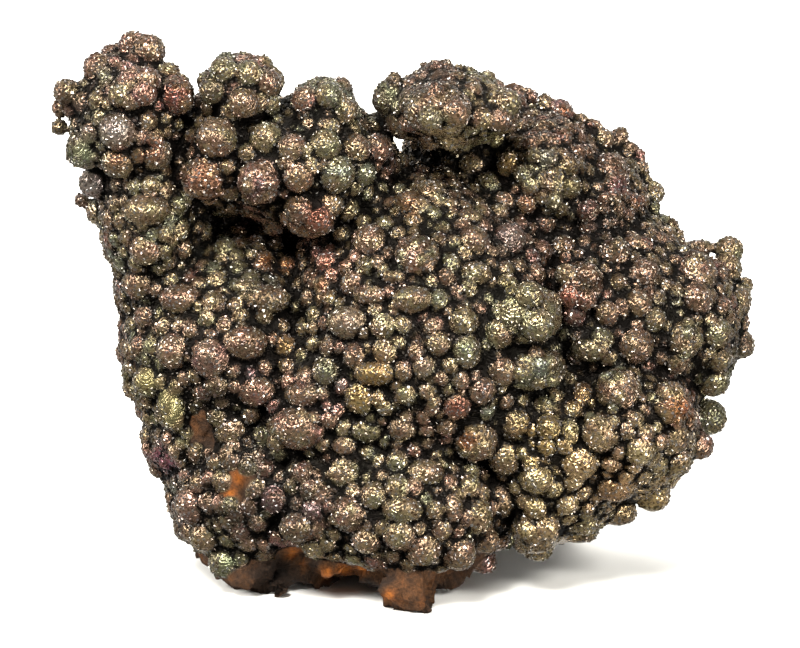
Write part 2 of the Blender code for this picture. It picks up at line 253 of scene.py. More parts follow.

# %% [markdown]
# ## The lumps that were read off the face
# A botryoidal crust is a heap of balls: each grew outwards from a point until it met its
# neighbours.  So the form is described as balls, not as a surface.  The core is a few dozen large
# ovals, and the crust is hundreds of smaller balls that sit on it.  A list of places is the honest
# description of a natural thing, which follows no drawing.

# %% The core
# Across, down, deep, then half the width, the height and the depth, in steps.
CORE = {
    "horn": (132, 120, 125, 56, 64, 72),
    "horn root": (156, 205, 165, 52, 90, 95),
    "top left mass": (225, 155, 145, 52, 62, 92),
    "top balls mass": (300, 165, 135, 95, 64, 98),
    "overhang": (445, 112, 130, 60, 38, 90),
    "overhang backing": (480, 150, 225, 72, 62, 75),
    "left shoulder": (168, 285, 190, 50, 52, 88),
    "left mass": (232, 345, 195, 110, 125, 130),
    "left waist": (212, 432, 195, 68, 62, 96),
    "lower left": (255, 480, 190, 85, 100, 115),
    "left foot": (258, 562, 168, 46, 40, 52),
    "centre": (425, 335, 165, 150, 165, 148),
    "lower centre": (405, 505, 150, 105, 88, 112),
    "tip": (411, 582, 102, 30, 34, 42),
    "upper right": (543, 182, 200, 60, 68, 95),
    "upper right shoulder": (598, 215, 215, 50, 62, 90),
    "right": (598, 325, 205, 125, 115, 125),
    "right lobe": (688, 325, 195, 50, 75, 75),
    "lower right": (622, 425, 170, 72, 78, 115),
    "back left": (300, 330, 255, 140, 150, 85),
    "back right": (520, 330, 255, 150, 130, 80),
    "recess backing": (275, 240, 232, 108, 62, 66),
    "saddle": (392, 220, 238, 62, 56, 64),
    "underside": (400, 474, 262, 150, 92, 100),
    "waist": (335, 400, 170, 100, 120, 118),
    "right waist": (548, 440, 170, 85, 105, 110),
    "lower waist": (325, 500, 165, 70, 88, 110),
    "back right foot": (478, 488, 315, 105, 68, 58),
    "back left foot": (312, 494, 312, 84, 64, 56),
}
print("ovals in the core", len(CORE))

# %% Balls of the crust
# Balls that stand well out of the core: across, down, deep, radius.
PROUD_BALLS = [
    (242, 93, 88, 38), (324, 112, 84, 33), (311, 213, 74, 26), (150, 52, 105, 16), (134, 46, 112, 14),
    (100, 69, 100, 15), (176, 97, 78, 19), (170, 76, 92, 12), (68, 93, 105, 13), (437, 76, 110, 14),
]

# Balls that sit on the core: across, down, radius, or across, down, half width, half height.
HORN_BALLS = [
    (112, 56, 11), (107, 77, 8), (138, 92, 22), (134, 103, 9), (150, 82, 12), (62, 108, 9), (60, 128, 8),
    (78, 108, 14), (120, 133, 18), (157, 155, 16), (120, 163, 16), (185, 127, 14), (88, 150, 20),
    (95, 183, 15), (101, 211, 15), (147, 211, 23, 14), (147, 251, 15), (141, 284, 18, 15),
    (183, 299, 22, 14), (185, 199, 9), (201, 231, 11), (147, 317, 12), (153, 187, 9),
]
TOP_BALLS = [
    (215, 92, 14), (225, 74, 14), (250, 76, 13), (268, 85, 14), (245, 105, 15), (270, 105, 11),
    (306, 102, 13), (330, 98, 14), (345, 112, 13), (310, 126, 9), (328, 130, 14), (350, 130, 12),
    (325, 148, 16), (378, 127, 14), (376, 150, 15), (219, 140, 20), (207, 179, 22), (230, 190, 12),
    (262, 183, 22), (268, 140, 16), (250, 155, 10), (294, 150, 14), (300, 178, 15), (312, 168, 10),
    (356, 150, 14), (337, 175, 18), (365, 175, 11), (300, 210, 14), (330, 205, 14), (320, 222, 14),
    (345, 208, 15), (373, 203, 15), (380, 190, 8),
]
OVERHANG_BALLS = [
    (393, 100, 20), (412, 103, 14), (440, 105, 20), (455, 115, 14), (452, 128, 9), (430, 120, 12),
    (437, 112, 32, 25), (495, 113, 24), (508, 105, 12), (480, 120, 12), (498, 122, 12), (495, 140, 12),
    (487, 80, 9), (497, 87, 9), (468, 76, 9), (472, 92, 9), (399, 162, 10), (417, 168, 8),
]
LEFT_BALLS = [
    (245, 226, 13), (273, 226, 10), (206, 232, 9), (226, 249, 11), (305, 247, 8), (287, 266, 9),
    (328, 263, 11), (323, 286, 9), (348, 268, 8), (354, 284, 12), (265, 300, 25, 15), (247, 287, 17, 8),
    (215, 303, 11), (241, 317, 9), (298, 307, 8), (245, 342, 22, 16), (284, 346, 13), (175, 351, 17),
    (213, 357, 20), (288, 366, 8), (330, 347, 9), (328, 371, 15), (150, 381, 16), (174, 407, 16, 24),
    (152, 416, 10), (218, 384, 12), (257, 390, 20, 15), (305, 394, 19, 12), (299, 427, 28, 22),
    (233, 430, 17, 16), (251, 413, 10), (229, 452, 8), (141, 346, 10),
]
CENTRE_BALLS = [
    (452, 168, 14), (472, 170, 18), (490, 190, 18), (503, 205, 13), (409, 206, 15), (430, 195, 14),
    (450, 206, 8), (468, 218, 14, 8), (473, 242, 15), (508, 240, 16), (475, 274, 15, 11), (504, 271, 9),
    (533, 275, 11), (417, 258, 22), (378, 264, 8), (370, 243, 17), (396, 278, 14, 7), (413, 300, 21, 13),
    (372, 296, 18, 10), (350, 322, 22, 16), (384, 326, 13), (520, 315, 40, 32), (505, 287, 12),
    (528, 296, 14), (498, 333, 15), (536, 325, 16), (462, 322, 14), (438, 343, 11), (465, 350, 14, 17),
    (357, 356, 12), (385, 350, 12), (377, 372, 22, 12), (403, 370, 9), (423, 366, 10), (460, 379, 9),
    (480, 389, 14), (456, 405, 13), (485, 409, 9), (475, 438, 22), (362, 397, 16), (405, 393, 10),
    (385, 405, 9), (368, 429, 18, 12), (402, 427, 12), (370, 453, 13), (396, 442, 9), (414, 448, 10),
    (398, 460, 11), (330, 419, 9), (345, 444, 12), (347, 472, 20), (435, 453, 9), (425, 471, 18, 12),
    (469, 471, 10), (505, 455, 18), (513, 422, 20), (547, 427, 12), (569, 433, 9, 15),
    (525, 368, 40, 22), (501, 370, 16), (532, 361, 15), (547, 377, 14),
]
UPPER_RIGHT_BALLS = [
    (533, 113, 9), (519, 128, 7, 10), (532, 145, 9), (534, 157, 8), (547, 159, 9), (545, 140, 8),
    (553, 110, 10), (560, 112, 14), (562, 137, 10), (578, 153, 8), (590, 135, 8), (577, 130, 8),
    (509, 165, 12), (523, 175, 9), (530, 187, 8), (526, 203, 10), (553, 187, 9), (552, 200, 10),
    (568, 166, 11), (570, 187, 11), (605, 138, 10), (622, 134, 8), (612, 143, 12), (627, 152, 9),
    (640, 168, 10), (610, 170, 17), (617, 180, 12), (612, 197, 9), (636, 187, 9), (640, 200, 10),
    (633, 203, 10), (655, 192, 11), (588, 212, 12), (589, 228, 11), (643, 246, 9), (544, 223, 11),
    (563, 226, 12), (570, 215, 8), (528, 230, 8), (539, 252, 12), (563, 249, 13), (668, 235, 9),
    (665, 222, 8), (660, 240, 8), (518, 98, 8), (530, 95, 8), (547, 104, 8),
]
RIGHT_BALLS = [
    (580, 287, 23), (565, 275, 11), (587, 275, 11), (568, 296, 11), (585, 300, 10), (574, 313, 12),
    (614, 255, 16), (618, 283, 8), (643, 275, 16), (606, 313, 12), (636, 304, 14), (655, 298, 9),
    (652, 319, 12), (634, 345, 18), (600, 340, 12), (590, 349, 20, 12), (680, 339, 20), (674, 360, 14),
    (694, 275, 22), (693, 299, 18), (673, 291, 9), (701, 247, 16, 7), (731, 250, 14), (728, 268, 15),
    (747, 285, 8), (736, 301, 17), (740, 322, 11), (716, 333, 15), (719, 358, 13), (742, 345, 14),
    (713, 380, 17),
]
LOWER_RIGHT_BALLS = [
    (582, 398, 11, 16), (617, 392, 22, 23), (615, 364, 10), (600, 431, 20), (578, 461, 18),
    (665, 405, 23), (672, 437, 16), (710, 418, 18), (633, 419, 8), (638, 449, 15), (614, 485, 20, 16),
    (653, 495, 17), (618, 513, 19, 13), (584, 522, 13), (579, 535, 18, 8), (566, 503, 11),
    (572, 479, 10), (536, 478, 17, 14), (535, 526, 23, 27), (535, 506, 12), (526, 529, 10),
    (546, 526, 12), (538, 546, 16), (700, 446, 14), (676, 461, 14),
]
LOWER_BALLS = [
    (375, 494, 13), (399, 487, 13), (402, 508, 19, 13), (351, 511, 19), (367, 538, 14), (400, 532, 16),
    (423, 547, 17), (408, 560, 8), (458, 551, 17, 18), (434, 508, 9), (453, 506, 9, 14),
    (477, 514, 14, 18), (500, 497, 16, 20), (441, 528, 10), (468, 486, 12), (487, 540, 12),
    (507, 545, 8), (276, 497, 15), (304, 472, 11), (299, 526, 18, 14), (259, 521, 8), (158, 469, 9),
    (192, 503, 16, 20), (205, 536, 15), (227, 562, 18, 16), (245, 578, 18, 14), (278, 585, 11),
    (484, 562, 12), (330, 571, 16, 12), (390, 588, 14, 12),
]
FACE_BALLS = (HORN_BALLS + TOP_BALLS + OVERHANG_BALLS + LEFT_BALLS + CENTRE_BALLS
              + UPPER_RIGHT_BALLS + RIGHT_BALLS + LOWER_RIGHT_BALLS + LOWER_BALLS)

# Small balls that only this finer model holds.
SMALL_BALLS = [
    (122, 52, 9), (122, 98, 11), (147, 96, 12), (150, 122, 8), (81, 200, 7), (138, 188, 8),
    (198, 104, 7), (424, 66, 4), (434, 65, 4), (446, 66, 6), (458, 72, 7), (266, 258, 7),
    (331, 299, 8), (177, 451, 8), (410, 145, 6), (429, 145, 7), (450, 144, 8), (465, 147, 5),
    (441, 377, 7), (427, 390, 8), (431, 407, 7), (518, 88, 5), (527, 92, 6), (534, 97, 5),
    (530, 103, 6), (545, 98, 6), (551, 127, 7), (582, 118, 6), (591, 123, 5), (598, 124, 5),
    (562, 156, 7), (517, 190, 6), (633, 147, 6), (641, 154, 6), (645, 177, 7), (597, 188, 6),
    (583, 187, 6), (657, 207, 5), (602, 209, 6), (606, 225, 6), (619, 224, 5), (632, 226, 6),
    (606, 240, 7), (617, 245, 7), (630, 238, 7), (655, 220, 8), (673, 225, 7), (680, 235, 6),
    (650, 235, 7), (587, 507, 7),
]
print("balls read off the face", len(PROUD_BALLS) + len(FACE_BALLS) + len(SMALL_BALLS))

# %% [markdown]
# ## Setting the balls on the core
# A photograph gives no depth, so the depth of a ball is worked out: it rests on whatever is
# nearest to the eye under its centre, the core or a ball much larger than itself.  That keeps every
# ball seated when the specimen is turned.

# %% Depth of a ball
# How far a ball's centre lies behind what it sits on, in radii, and how many times larger a ball
# has to be to carry another.
BALL_SINK = 0.10
SIZE_RATIO = 1.6
# Keeps a shape that isn't under the ball's centre from winning over one that is.
GAP_COST = 1000.0


def core_rows():
    """The core as rows of centre and half sizes, in steps."""
    return np.array(list(CORE.values()), dtype=float)


def face_depth(shapes, across, down):
    """Front of an oval is its deep centre less its half depth times the root of 1 - q, where q
    is the squared distance from its centre in half widths and half heights; the nearest wins."""
    middle_across, middle_down, middle_deep, wide, high, thick = shapes.T
    inside = 1.0 - ((across - middle_across) / wide) ** 2 - ((down - middle_down) / high) ** 2
    front = middle_deep - thick * np.sqrt(np.clip(inside, 0.0, None))
    return front[np.argmin(front + GAP_COST * np.clip(-inside, 0.0, None))]


def seated(rows, below):
    """Seat each listed ball on the core and on the much larger balls below it, largest first."""
    balls = list(below)
    core = core_rows()
    rows = sorted(((row[0], row[1], row[2], row[-1]) for row in rows), key=lambda row: -row[2] * row[3])
    for across, down, wide, high in rows:
        thick = math.sqrt(wide * high)
        larger = [ball for ball in balls if min(ball[3:]) >= SIZE_RATIO * thick
                  and math.hypot(ball[0] - across, ball[1] - down) < min(ball[3:])]
        shapes = np.vstack([core] + [np.array([ball]) for ball in larger])
        deep = face_depth(shapes, across, down) + BALL_SINK * thick
        balls.append((across, down, deep, wide, high, thick))
    return balls


proud = [(a, d, deep, r, r, r) for a, d, deep, r in PROUD_BALLS]
face_balls = seated(FACE_BALLS, proud)
small_balls = seated(SMALL_BALLS, face_balls)[len(face_balls):]
print("seated", len(face_balls), "and", len(small_balls), "small")

# %% [markdown]
# ## Balls that nobody could read
# The crust turns round the edge of the specimen, and between the balls that were read there are
# smaller ones.  Both are scattered by rule: a spiral covers each oval evenly with candidate
# places, those buried in a neighbour drop out, and of the rest a place is kept only if it is clear
# of those already taken.  A seeded generator gives the sizes, so every run grows the same crust.

# %% Even places on ovals
# Sizes, depths and waves are in steps.
WRAP_RADII = (9.0, 16.0)
WRAP_TRIALS = 900
WRAP_DEPTH = 205.0
WRAP_WAVE = 30.0
WAVE_ACROSS, WAVE_DOWN = 37.0, 53.0
# Spacing in radii, the share of a neighbour's radius that counts, and how far a ball sinks in.
WRAP_SPACING = 1.25
WRAP_CROWD = 0.8
WRAP_SINK = 0.48
# Above 1 a place is outside an oval; then how far it may face the front, and down.
BURIED = 1.02
FRONT_TURN = -0.35
DOWN_TURN = 0.55
# The underside rises towards the back by this slope, and the crust stops this far above it.
FOOT_SLOPE, FOOT_MARGIN = 0.27, 40.0


def spiral(count):
    """Even places on a unit ball: each is a golden angle further round and an equal drop lower."""
    index = np.arange(count)
    height = 1.0 - 2.0 * (index + 0.5) / count
    turn = math.pi * (3.0 - math.sqrt(5.0)) * index
    ring = np.sqrt(1.0 - height ** 2)
    return np.stack([ring * np.cos(turn), ring * np.sin(turn), height], 1)


def outsides(row, sphere):
    """The places of a spiral on one oval, with the outward direction of each."""
    normals = sphere / row[3:]
    return row[:3] + sphere * row[3:], normals / np.linalg.norm(normals, axis=1, keepdims=True)


def crust_reach(points):
    """How deep the crust goes: a depth that waves slowly across and down."""
    return WRAP_DEPTH + WRAP_WAVE * np.sin(points[:, 0] / WAVE_ACROSS + points[:, 1] / WAVE_DOWN)


def above_feet(points):
    """Whether a place is well above the sloping underside."""
    lowest = FLOOR_TIP[1] - FOOT_SLOPE * (points[:, 2] - FLOOR_TIP[2]) - FOOT_MARGIN
    return points[:, 1] < lowest


def wrapped_balls(face):
    """Balls scattered over the sides and the rim, where the crust turns out of sight."""
    generator = np.random.default_rng(SEED)
    core = core_rows()
    sphere = spiral(WRAP_TRIALS)
    taken = np.array([ball[:4] for ball in face])
    kept = []
    for number, row in enumerate(core):
        points, normals = outsides(row, sphere)
        neighbours = np.delete(core, number, axis=0)
        inside = [(((points - other[:3]) / other[3:]) ** 2).sum(1) for other in neighbours]
        open_places = (np.min(inside, axis=0) > BURIED) & (normals[:, 2] > FRONT_TURN)
        open_places &= (normals[:, 1] < DOWN_TURN) & above_feet(points)
        open_places &= points[:, 2] < crust_reach(points)
        for point in points[open_places]:
            radius = generator.uniform(*WRAP_RADII)
            apart = np.linalg.norm(taken[:, :3] - point, axis=1)
            if np.all(apart > WRAP_SPACING * np.maximum(radius, WRAP_CROWD * taken[:, 3])):
                inward = (row[:3] - point) / np.linalg.norm(row[:3] - point)
                kept.append((*(point + inward * WRAP_SINK * radius), radius, radius, radius))
                taken = np.vstack([taken, [*point, radius]])
    return kept


wraps = wrapped_balls(face_balls)
print("balls round the edge", len(wraps))

# %% Small balls in the gaps
# Bare places on the face: across, down, half width, half height.
BARE_PLACES = [
    (350, 590, 150, 24), (203, 432, 15, 24), (484, 562, 22, 16), (240, 478, 18, 12), (233, 495, 14, 10),
    (128, 395, 14, 48), (466, 440, 6, 5), (295, 556, 20, 10),
]
# Fillers on the core: radii and spacing in steps, and how far they sink in, in radii.
FILL_RADII = (6.0, 10.5)
FILL_SPACING = 11.0
FILL_SINK = 0.45
# Lobes on a ball that is large enough: radii in shares of the ball's, spacing and sinking in radii.
LOBE_PARENT = 19.0
LOBE_SHARES = (0.24, 0.36)
LOBE_SPACING = 1.3
LOBE_SINK = 0.72
# Fewest candidates on a shape, how far one strays in shares of the spacing, how far it may face
# down, how much deeper than the crust it may lie, and what counts as facing the front.
FEWEST = 12
STRAY = 0.18
FILL_DOWN_TURN = 0.80
FILL_DEEPER = 10.0
FILL_FRONT_TURN = 0.2
# Two balls stay this share of their radii apart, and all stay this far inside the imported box.
FILL_APART = 0.84
BOX_MARGIN = 0.3e-3


def bare_face(points):
    """Whether a place lies in one of the bare ovals of the face."""
    found = np.zeros(len(points), dtype=bool)
    for across, down, wide, high in BARE_PLACES:
        found |= ((points[:, 0] - across) / wide) ** 2 + ((points[:, 1] - down) / high) ** 2 < 1.0
    return found


def filling_places(shapes, core_count):
    """Candidate balls on every core oval and every large ball: place, radius, way out and sink.

    The sphere of a shape's mean radius, over the square of the spacing, gives their number."""
    generator = np.random.default_rng(SEED + 1)
    found = []
    for number, row in enumerate(shapes):
        on_core = number < core_count
        mean = row[3:].mean()
        if not on_core and mean < LOBE_PARENT:
            continue
        radii = FILL_RADII if on_core else (LOBE_SHARES[0] * mean, LOBE_SHARES[1] * mean)
        spacing = FILL_SPACING if on_core else LOBE_SPACING * sum(radii) / 2.0
        sphere = spiral(int(4.0 * math.pi * (mean / spacing) ** 2) + FEWEST)
        points, normals = outsides(row, sphere)
        points = points + generator.normal(0.0, STRAY * spacing, points.shape)
        radius = generator.uniform(*radii, len(points))
        keep = (normals[:, 1] < FILL_DOWN_TURN) & above_feet(points)
        keep &= points[:, 2] < crust_reach(points) + FILL_DEEPER
        keep &= ~(bare_face(points) & (normals[:, 2] < FILL_FRONT_TURN))
        for other in np.delete(shapes, number, axis=0):
            keep &= (((points - other[:3]) / other[3:]) ** 2).sum(1) > 1.0
        sink = np.full(len(points), FILL_SINK if on_core else LOBE_SINK)
        found.append(np.column_stack([points, radius, normals, sink])[keep])
    return np.vstack(found)


def filling_balls(shapes, core_count):
    """Thin the candidates until no two crowd each other, then sink them a little."""
    rows = filling_places(shapes, core_count)
    tree = kdtree.KDTree(len(rows))
    for number, row in enumerate(rows):
        tree.insert(row[:3], number)
    tree.balance()
    dropped = np.zeros(len(rows), dtype=bool)
    for number, row in enumerate(rows):
        if dropped[number]:
            continue
        for _, other, apart in tree.find_range(row[:3], 2.0 * FILL_RADII[1]):
            if other > number and apart < FILL_APART * (row[3] + rows[other, 3]):
                dropped[other] = True
    place, radius, outward, sink = np.split(rows[~dropped], [3, 4, 7], axis=1)
    return np.column_stack([place - outward * (sink * radius), radius, radius, radius])


def within_box(balls, margin):
    """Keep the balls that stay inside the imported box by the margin, in metres."""
    centres = stood(face_place(balls[:, :3]))
    reach = balls[:, 3:].max(1)[:, None] * STEP + margin
    low, high = np.array(packed_low), np.array(packed_high)
    inside = (centres[:, :2] - reach > low[:2]).all(1) & (centres + reach < high).all(1)
    return balls[inside]


core_shapes = core_rows()
read_balls = np.array(face_balls + small_balls + wraps)
fillers = filling_balls(np.vstack([core_shapes, read_balls]), len(core_shapes))
fillers = within_box(fillers, BOX_MARGIN)
all_balls = np.vstack([read_balls, fillers])
print("small balls in the gaps", len(fillers), "all balls", len(all_balls))

# %% [markdown]
# ## One skin over all the balls
# Every ball is a surface of two parameters, the angle round and the angle from pole to pole.  All
# of them are worked out as one array.  A voxel remesh then wraps one closed skin round the heap:
# it keeps the outside, drops what is buried and rounds the creases a little, as the real growth
# does.  Joining the balls with Booleans would take minutes and leave slivers.

# %% Balls as surfaces
# In metres: how much every ball grows, and the size of the remesh's voxels.
SKIN_GROWTH = 0.04e-3
SKIN_VOXEL = 0.42e-3
# Sides and rings of an oval of the core, of a ball that was read, and of a filler.
CORE_GRID, BALL_GRID, FILL_GRID = (72, 36), (28, 14), (12, 8)


def ball_grid(sides, rings):
    """Unit ball: x = sin v cos u, y = sin v sin u, z = cos v; each pole is a single point."""
    u, v = np.meshgrid(np.arange(sides) * 2.0 * math.pi / sides, np.linspace(0.0, math.pi, rings + 1)[1:-1])
    body = np.stack([np.sin(v) * np.cos(u), np.sin(v) * np.sin(u), np.cos(v)], -1).reshape(-1, 3)
    points = np.vstack([[(0.0, 0.0, 1.0)], body, [(0.0, 0.0, -1.0)]])
    side = np.arange(sides)
    after = (side + 1) % sides
    start = 1 + sides * np.arange(rings - 2)[:, None]
    a, b = (start + side).ravel(), (start + after).ravel()
    last = len(points) - 1
    low = last - sides
    faces = np.vstack([
        np.stack([np.zeros_like(side), 1 + side, 1 + after], 1),
        np.stack([a, a + sides, b + sides], 1),
        np.stack([a, b + sides, b], 1),
        np.stack([np.full_like(side, last), low + after, low + side], 1),
    ])
    return points, faces


def ball_heap(shapes, grid, growth):
    """Every ball at once: its centre plus the unit ball times its half sizes.

    In x, y and z those are half its width, half its depth and half its height."""
    unit, faces = ball_grid(*grid)
    centres = face_place(shapes[:, :3])
    halves = shapes[:, [3, 5, 4]] * STEP + growth
    points = centres[:, None, :] + unit[None] * halves[:, None, :]
    triangles = faces[None] + (np.arange(len(shapes)) * len(unit))[:, None, None]
    return points.reshape(-1, 3), triangles.reshape(-1, 3)


def mesh_of(name, points, triangles):
    """A mesh from whole arrays of points and triangles."""
    mesh = bpy.data.meshes.new(name)
    mesh.vertices.add(len(points))
    mesh.vertices.foreach_set("co", np.ascontiguousarray(points, dtype=np.float32).ravel())
    mesh.loops.add(3 * len(triangles))
    mesh.loops.foreach_set("vertex_index", np.ascontiguousarray(triangles, dtype=np.int32).ravel())
    mesh.polygons.add(len(triangles))
    mesh.polygons.foreach_set("loop_start", np.arange(0, 3 * len(triangles), 3, dtype=np.int32))
    mesh.update(calc_edges=True)
    return mesh


def places_in(mesh):
    """The places of a mesh's vertices as rows."""
    flat = np.empty(3 * len(mesh.vertices), dtype=np.float32)
    mesh.vertices.foreach_get("co", flat)
    return flat.reshape(-1, 3).astype(float)


def normals_in(mesh):
    """The outward direction at each vertex."""
    flat = np.empty(3 * len(mesh.vertices), dtype=np.float32)
    mesh.vertex_normals.foreach_get("vector", flat)
    return flat.reshape(-1, 3).astype(float)


def through_modifier(mesh, kind, **settings):
    """Run one modifier over a mesh and return the finished mesh."""
    carrier = bpy.data.objects.new("carrier", mesh)
    bpy.context.scene.collection.objects.link(carrier)
    modifier = carrier.modifiers.new("step", kind)
    for name, value in settings.items():
        setattr(modifier, name, value)
    made = bpy.data.meshes.new_from_object(carrier.evaluated_get(bpy.context.evaluated_depsgraph_get()))
    bpy.data.objects.remove(carrier, do_unlink=True)
    return made


def fused_skin():
    """All ovals and balls as one heap, wrapped by a voxel remesh."""
    heaps = [ball_heap(core_shapes, CORE_GRID, 0.0), ball_heap(read_balls, BALL_GRID, SKIN_GROWTH),
             ball_heap(fillers, FILL_GRID, SKIN_GROWTH)]
    shift = np.cumsum([0] + [len(points) for points, _ in heaps[:-1]])
    points = np.vstack([heap[0] for heap in heaps])
    triangles = np.vstack([heap[1] + offset for heap, offset in zip(heaps, shift)])
    heap = mesh_of("heap", points, triangles)
    return through_modifier(heap, "REMESH", mode="VOXEL", voxel_size=SKIN_VOXEL)


skin_mesh = fused_skin()
print("fused skin", len(skin_mesh.vertices), "vertices")

# %% [markdown]
# ## Breaking the matrix
# Where no ball grew, the matrix shows: it broke along uneven ledges when the specimen was taken
# from its vein.  Each cell of an uneven lattice has its own height and tilt, which gives ledges,
# and fractal noise of three sizes adds crags.  A cover value, 0 on the crust and 1 on bare matrix,
# says how much of that relief a place gets.  The back is split off flat first, and a strip along
# the foot of the face is bare too.

# %% Cover and relief
# The flat back: its depth at a level above the middle, in steps, and how it slopes.
BACK_PLANE = (255.0, 100.0, 0.24)
# Ledges and fine crags: the size of one and its height, in metres.
LEDGES = ((15.0e-3, 1.0e-3), (7.0e-3, 0.6e-3))
# How much a ledge tilts, and how far in ledges lie: 1 is as often in as out, and more is inwards.
LEDGE_TILT = 0.25
LEDGE_BIAS = 1.2
CRAG_SIZE, CRAG = 5.0e-3, 0.5e-3
FINE_CRAGS = ((2.6e-3, 0.55e-3), (1.0e-3, 0.30e-3))
# Bare matrix starts this far from the nearest ball, and the relief is whole this much further on.
BALL_REACH = 4.0e-3
COVER_START, COVER_WIDTH = 0.3e-3, 1.2e-3
# Share of the relief that the face loses, and where the face's crust ends and fades, in steps.
CALM_FACE = 0.7
FACE_EDGE, FACE_FADE = 25.0, 12.0

# The matrix along the foot of the face: across, down, half width, half height.
FOOT_PLACES = [(300, 582, 80, 26), (402, 602, 74, 32), (470, 592, 34, 20)]
# The strip is whole where it is this far inside one of them, on a scale of 0 at the edge to 1.
FOOT_FADE = 0.25

# Roughness and spread of the noise, and the layers of the crags' noise.
NOISE_ROUGHNESS, NOISE_SPREAD = 0.8, 2.1
CRAG_LAYERS = 3
# Numbers that mix a lattice cell's three places into a chance.
LATTICE_MIX = (127.1, 311.7, 74.7)
TURN_MIX = 1.7
LATTICE_SPREAD = 43758.5453


def nearest_ball(points, balls, growth, reach):
    """Distance from each point to the nearest ball's skin and to the second nearest, and the
    nearest ball's number.

    Only the slice of points within reach of a ball, in x, is measured against it."""
    order = np.argsort(points[:, 0])
    sorted_points = points[order]
    nearest = np.full(len(points), reach)
    second = np.full(len(points), reach)
    owner = np.full(len(points), -1)
    centres = face_place(balls[:, :3])
    halves = balls[:, [3, 5, 4]] * STEP + growth
    for number, (centre, half) in enumerate(zip(centres, halves)):
        span = half[0] + reach
        first, last = np.searchsorted(sorted_points[:, 0], [centre[0] - span, centre[0] + span])
        away = (np.sqrt((((sorted_points[first:last] - centre) / half) ** 2).sum(1)) - 1.0) * half.mean()
        closer = away < nearest[first:last]
        second[first:last] = np.minimum(second[first:last], np.maximum(away, nearest[first:last]))
        nearest[first:last][closer] = away[closer]
        owner[first:last][closer] = number
    back = np.empty_like(order)
    back[order] = np.arange(len(order))
    return nearest[back], second[back], owner[back]


def chance(cells, turn):
    """A number from 0 to 1 for each cell of a lattice, the same on every run."""
    mixed = np.sin(cells @ np.array(LATTICE_MIX) + TURN_MIX * turn) * LATTICE_SPREAD
    return mixed - np.floor(mixed)


def ledge_relief(points, size, drop):
    """Each point takes the height and the tilt of its nearest lattice seat."""
    home = np.floor(points / size)
    nearest = np.full(len(points), np.inf)
    relief = np.zeros(len(points))
    for step in np.ndindex(3, 3, 3):
        cell = home + np.array(step) - 1.0
        seat = (cell + np.stack([chance(cell, turn) for turn in (1, 2, 3)], 1)) * size
        away = points - seat
        apart = (away ** 2).sum(1)
        tilt = np.stack([chance(cell, turn) for turn in (4, 5, 6)], 1) - 0.5
        height = drop * (2.0 * chance(cell, 7) - LEDGE_BIAS) + LEDGE_TILT * (away * tilt).sum(1)
        closer = apart < nearest
        relief = np.where(closer, height, relief)
        nearest = np.minimum(nearest, apart)
    return relief


def noise_at(points, size, layers=2):
    """Fractal noise at each point, about -1 to 1, with features of the given size."""
    shape = (NOISE_ROUGHNESS, NOISE_SPREAD, layers)
    return np.array([noise.fractal(Vector(point), *shape) for point in (points / size).tolist()])


def face_steps(points):
    """Back from metres before the lean to across, down and deep in steps."""
    return np.stack([points[:, 0] / STEP + FACE_MIDDLE[0], FACE_MIDDLE[1] - points[:, 2] / STEP,
                     points[:, 1] / STEP], 1)


def bare_foot(steps):
    """1 on the strip of matrix along the foot of the face, falling to 0 at its edge."""
    inside = [1.0 - ((steps[:, 0] - across) / wide) ** 2 - ((steps[:, 1] - down) / high) ** 2
              for across, down, wide, high in FOOT_PLACES]
    return np.clip(np.max(inside, axis=0) / FOOT_FADE, 0.0, 1.0)


def face_crust(steps):
    """The crust closes over the whole face: 1 where a place is shallow, above the feet and not
    bare."""
    margin = (crust_reach(steps) - FACE_EDGE - steps[:, 2]) / FACE_FADE
    return np.clip(margin, 0.0, 1.0) * above_feet(steps) * ~bare_face(steps)


def weather(mesh):
    """Split the back off flat, then push bare matrix in and out along its normals."""
    points = places_in(mesh)
    deep, level, slope = BACK_PLANE
    back = (deep + slope * (FACE_MIDDLE[1] - points[:, 2] / STEP - level)) * STEP
    points[:, 1] = np.minimum(points[:, 1], back)
    mesh.vertices.foreach_set("co", points.astype(np.float32).ravel())
    mesh.update()
    normals = normals_in(mesh)
    away = nearest_ball(points, all_balls, SKIN_GROWTH, BALL_REACH)[0]
    cover = np.clip((away - COVER_START) / COVER_WIDTH, 0.0, 1.0)
    cover *= 1.0 - CALM_FACE * face_crust(face_steps(points))
    cover = np.maximum(cover, bare_foot(face_steps(points)))
    bare = cover > 0.0
    relief = np.zeros(len(points))
    rough = points[bare]
    relief[bare] = sum(ledge_relief(rough, size, drop) for size, drop in LEDGES)
    relief[bare] += CRAG * noise_at(rough, CRAG_SIZE, CRAG_LAYERS)
    relief[bare] += sum(height * noise_at(rough, size) for size, height in FINE_CRAGS)
    moved = points + normals * (cover * relief)[:, None]
    mesh.vertices.foreach_set("co", moved.astype(np.float32).ravel())
    mesh.update()
    return mesh


skin_mesh = weather(skin_mesh)
print("weathered", len(skin_mesh.vertices), "vertices")

# %% Thin the skin
SKIN_TRIANGLES = 190_000


def thinned(mesh, wanted):
    """Collapse edges where the skin is flattest, until the wanted number of triangles is left."""
    now = len(mesh.loops) - 2 * len(mesh.polygons)
    return through_modifier(mesh, "DECIMATE", ratio=wanted / now, use_collapse_triangulate=True)


skin_mesh = thinned(skin_mesh, SKIN_TRIANGLES)
print("thinned skin", len(skin_mesh.polygons), "faces")
